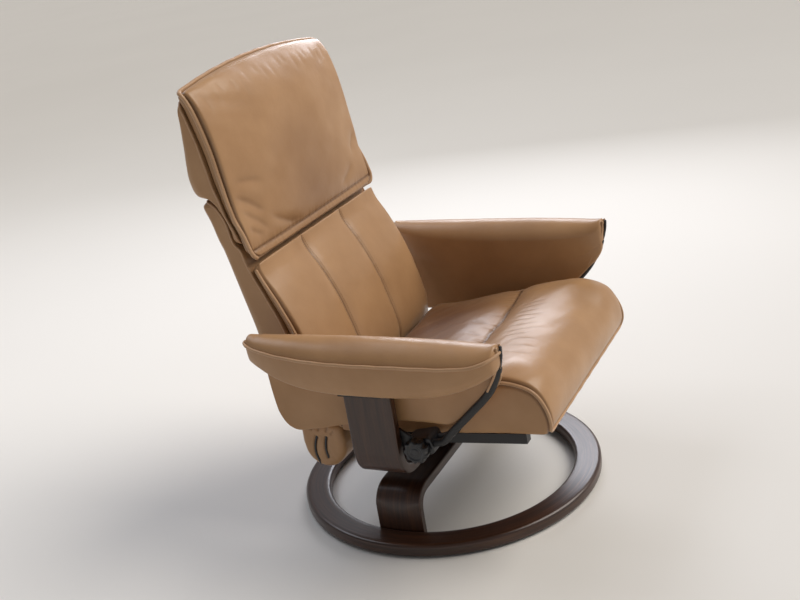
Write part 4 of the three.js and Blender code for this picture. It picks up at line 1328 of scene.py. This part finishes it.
def areaLight(name, at, aim, size, power, colour):
    light = bpy.data.lights.new(name, "AREA")
    light.shape = "RECTANGLE"
    light.size, light.size_y = size
    light.energy = power
    light.color = toLinear(colour)[:3]
    made = linked(name, light)
    made.location = at
    made.rotation_euler = (Vector(aim) - Vector(at)).to_track_quat("-Z", "Y").to_euler()


# Plain pale studio floor, matt.
floorPaint = twoTones("pale studio floor", 0.75, "ShaderNodeTexNoise", {"Scale": 0.8, "Detail": 2.0},
                      "#DDDAD5", "#E2DFDA")
floorX, floorY = np.meshgrid(np.linspace(-40, 40, 5), np.linspace(-40, 40, 5), indexing="ij")
floor = gridObject("studio_floor", np.stack([floorX, floorY, 0 * floorX], -1), around=False)
floor.data.flip_normals()
dress(floor, floorPaint)
areaLight("rear window", (0.6, 2.8, 3.9), (0, 0.1, 0.6), (3.0, 2.0), 62, "#EDF3FF")
areaLight("side window", (2.8, 0.7, 1.9), (0, 0, 1.5), (1.8, 0.9), 44, "#F4F6FF")
daylight = bpy.data.lights.new("daylight", "SUN")
daylight.energy = 2.6
daylight.angle = math.radians(45)
daylight.color = toLinear("#FFF9F1")[:3]
sun = linked("daylight", daylight)
sun.rotation_euler = Vector((0.35, -0.6, 0.72)).to_track_quat("Z", "Y").to_euler()
world = bpy.data.worlds.new("pale room")
world.use_nodes = True
sky = world.node_tree
direction = addNode(sky, "ShaderNodeTexCoord").outputs["Generated"]
height = addNode(sky, "ShaderNodeSeparateXYZ", {"Vector": direction}).outputs["Z"]
glow = addNode(sky, "ShaderNodeMapRange", {  # brighter at the horizon than overhead
    "Value": height, "From Min": 0.04, "From Max": 0.4, "To Min": 0.68, "To Max": 0.2})
feed(sky, sky.nodes["Background"], {"Color": toLinear("#E9EAEE"), "Strength": glow.outputs["Result"]})
bpy.context.scene.world = world
bpy.context.scene.view_settings.view_transform = "Standard"

cameraLook = {
    "at": (-2.1422, -1.0897, 1.3477),
    "towards": (0.83918, 0.42296, -0.34187),
    "roll": 9.006,  # degrees
    "aside": 0.024, "down": 0.0114,  # small turns to the left and down after the roll
    "lens": 52, "sensor": 36,  # mm
}
camera = linked("camera", bpy.data.cameras.new("camera"))
forward = Vector(cameraLook["towards"]).normalized()
level = forward.cross(Vector((0, 0, 1))).normalized()
above = level.cross(forward)
roll = math.radians(cameraLook["roll"])
right = level * math.cos(roll) - above * math.sin(roll)
up = level * math.sin(roll) + above * math.cos(roll)
forward = (forward - right * cameraLook["aside"] - up * cameraLook["down"]).normalized()
right = (right - forward * right.dot(forward)).normalized()
up = right.cross(forward)
turned = Matrix((right, up, -forward)).transposed().to_4x4()
turned.translation = Vector(cameraLook["at"])
camera.matrix_world = turned
camera.data.lens = cameraLook["lens"]
camera.data.sensor_width = cameraLook["sensor"]
bpy.context.scene.camera = camera
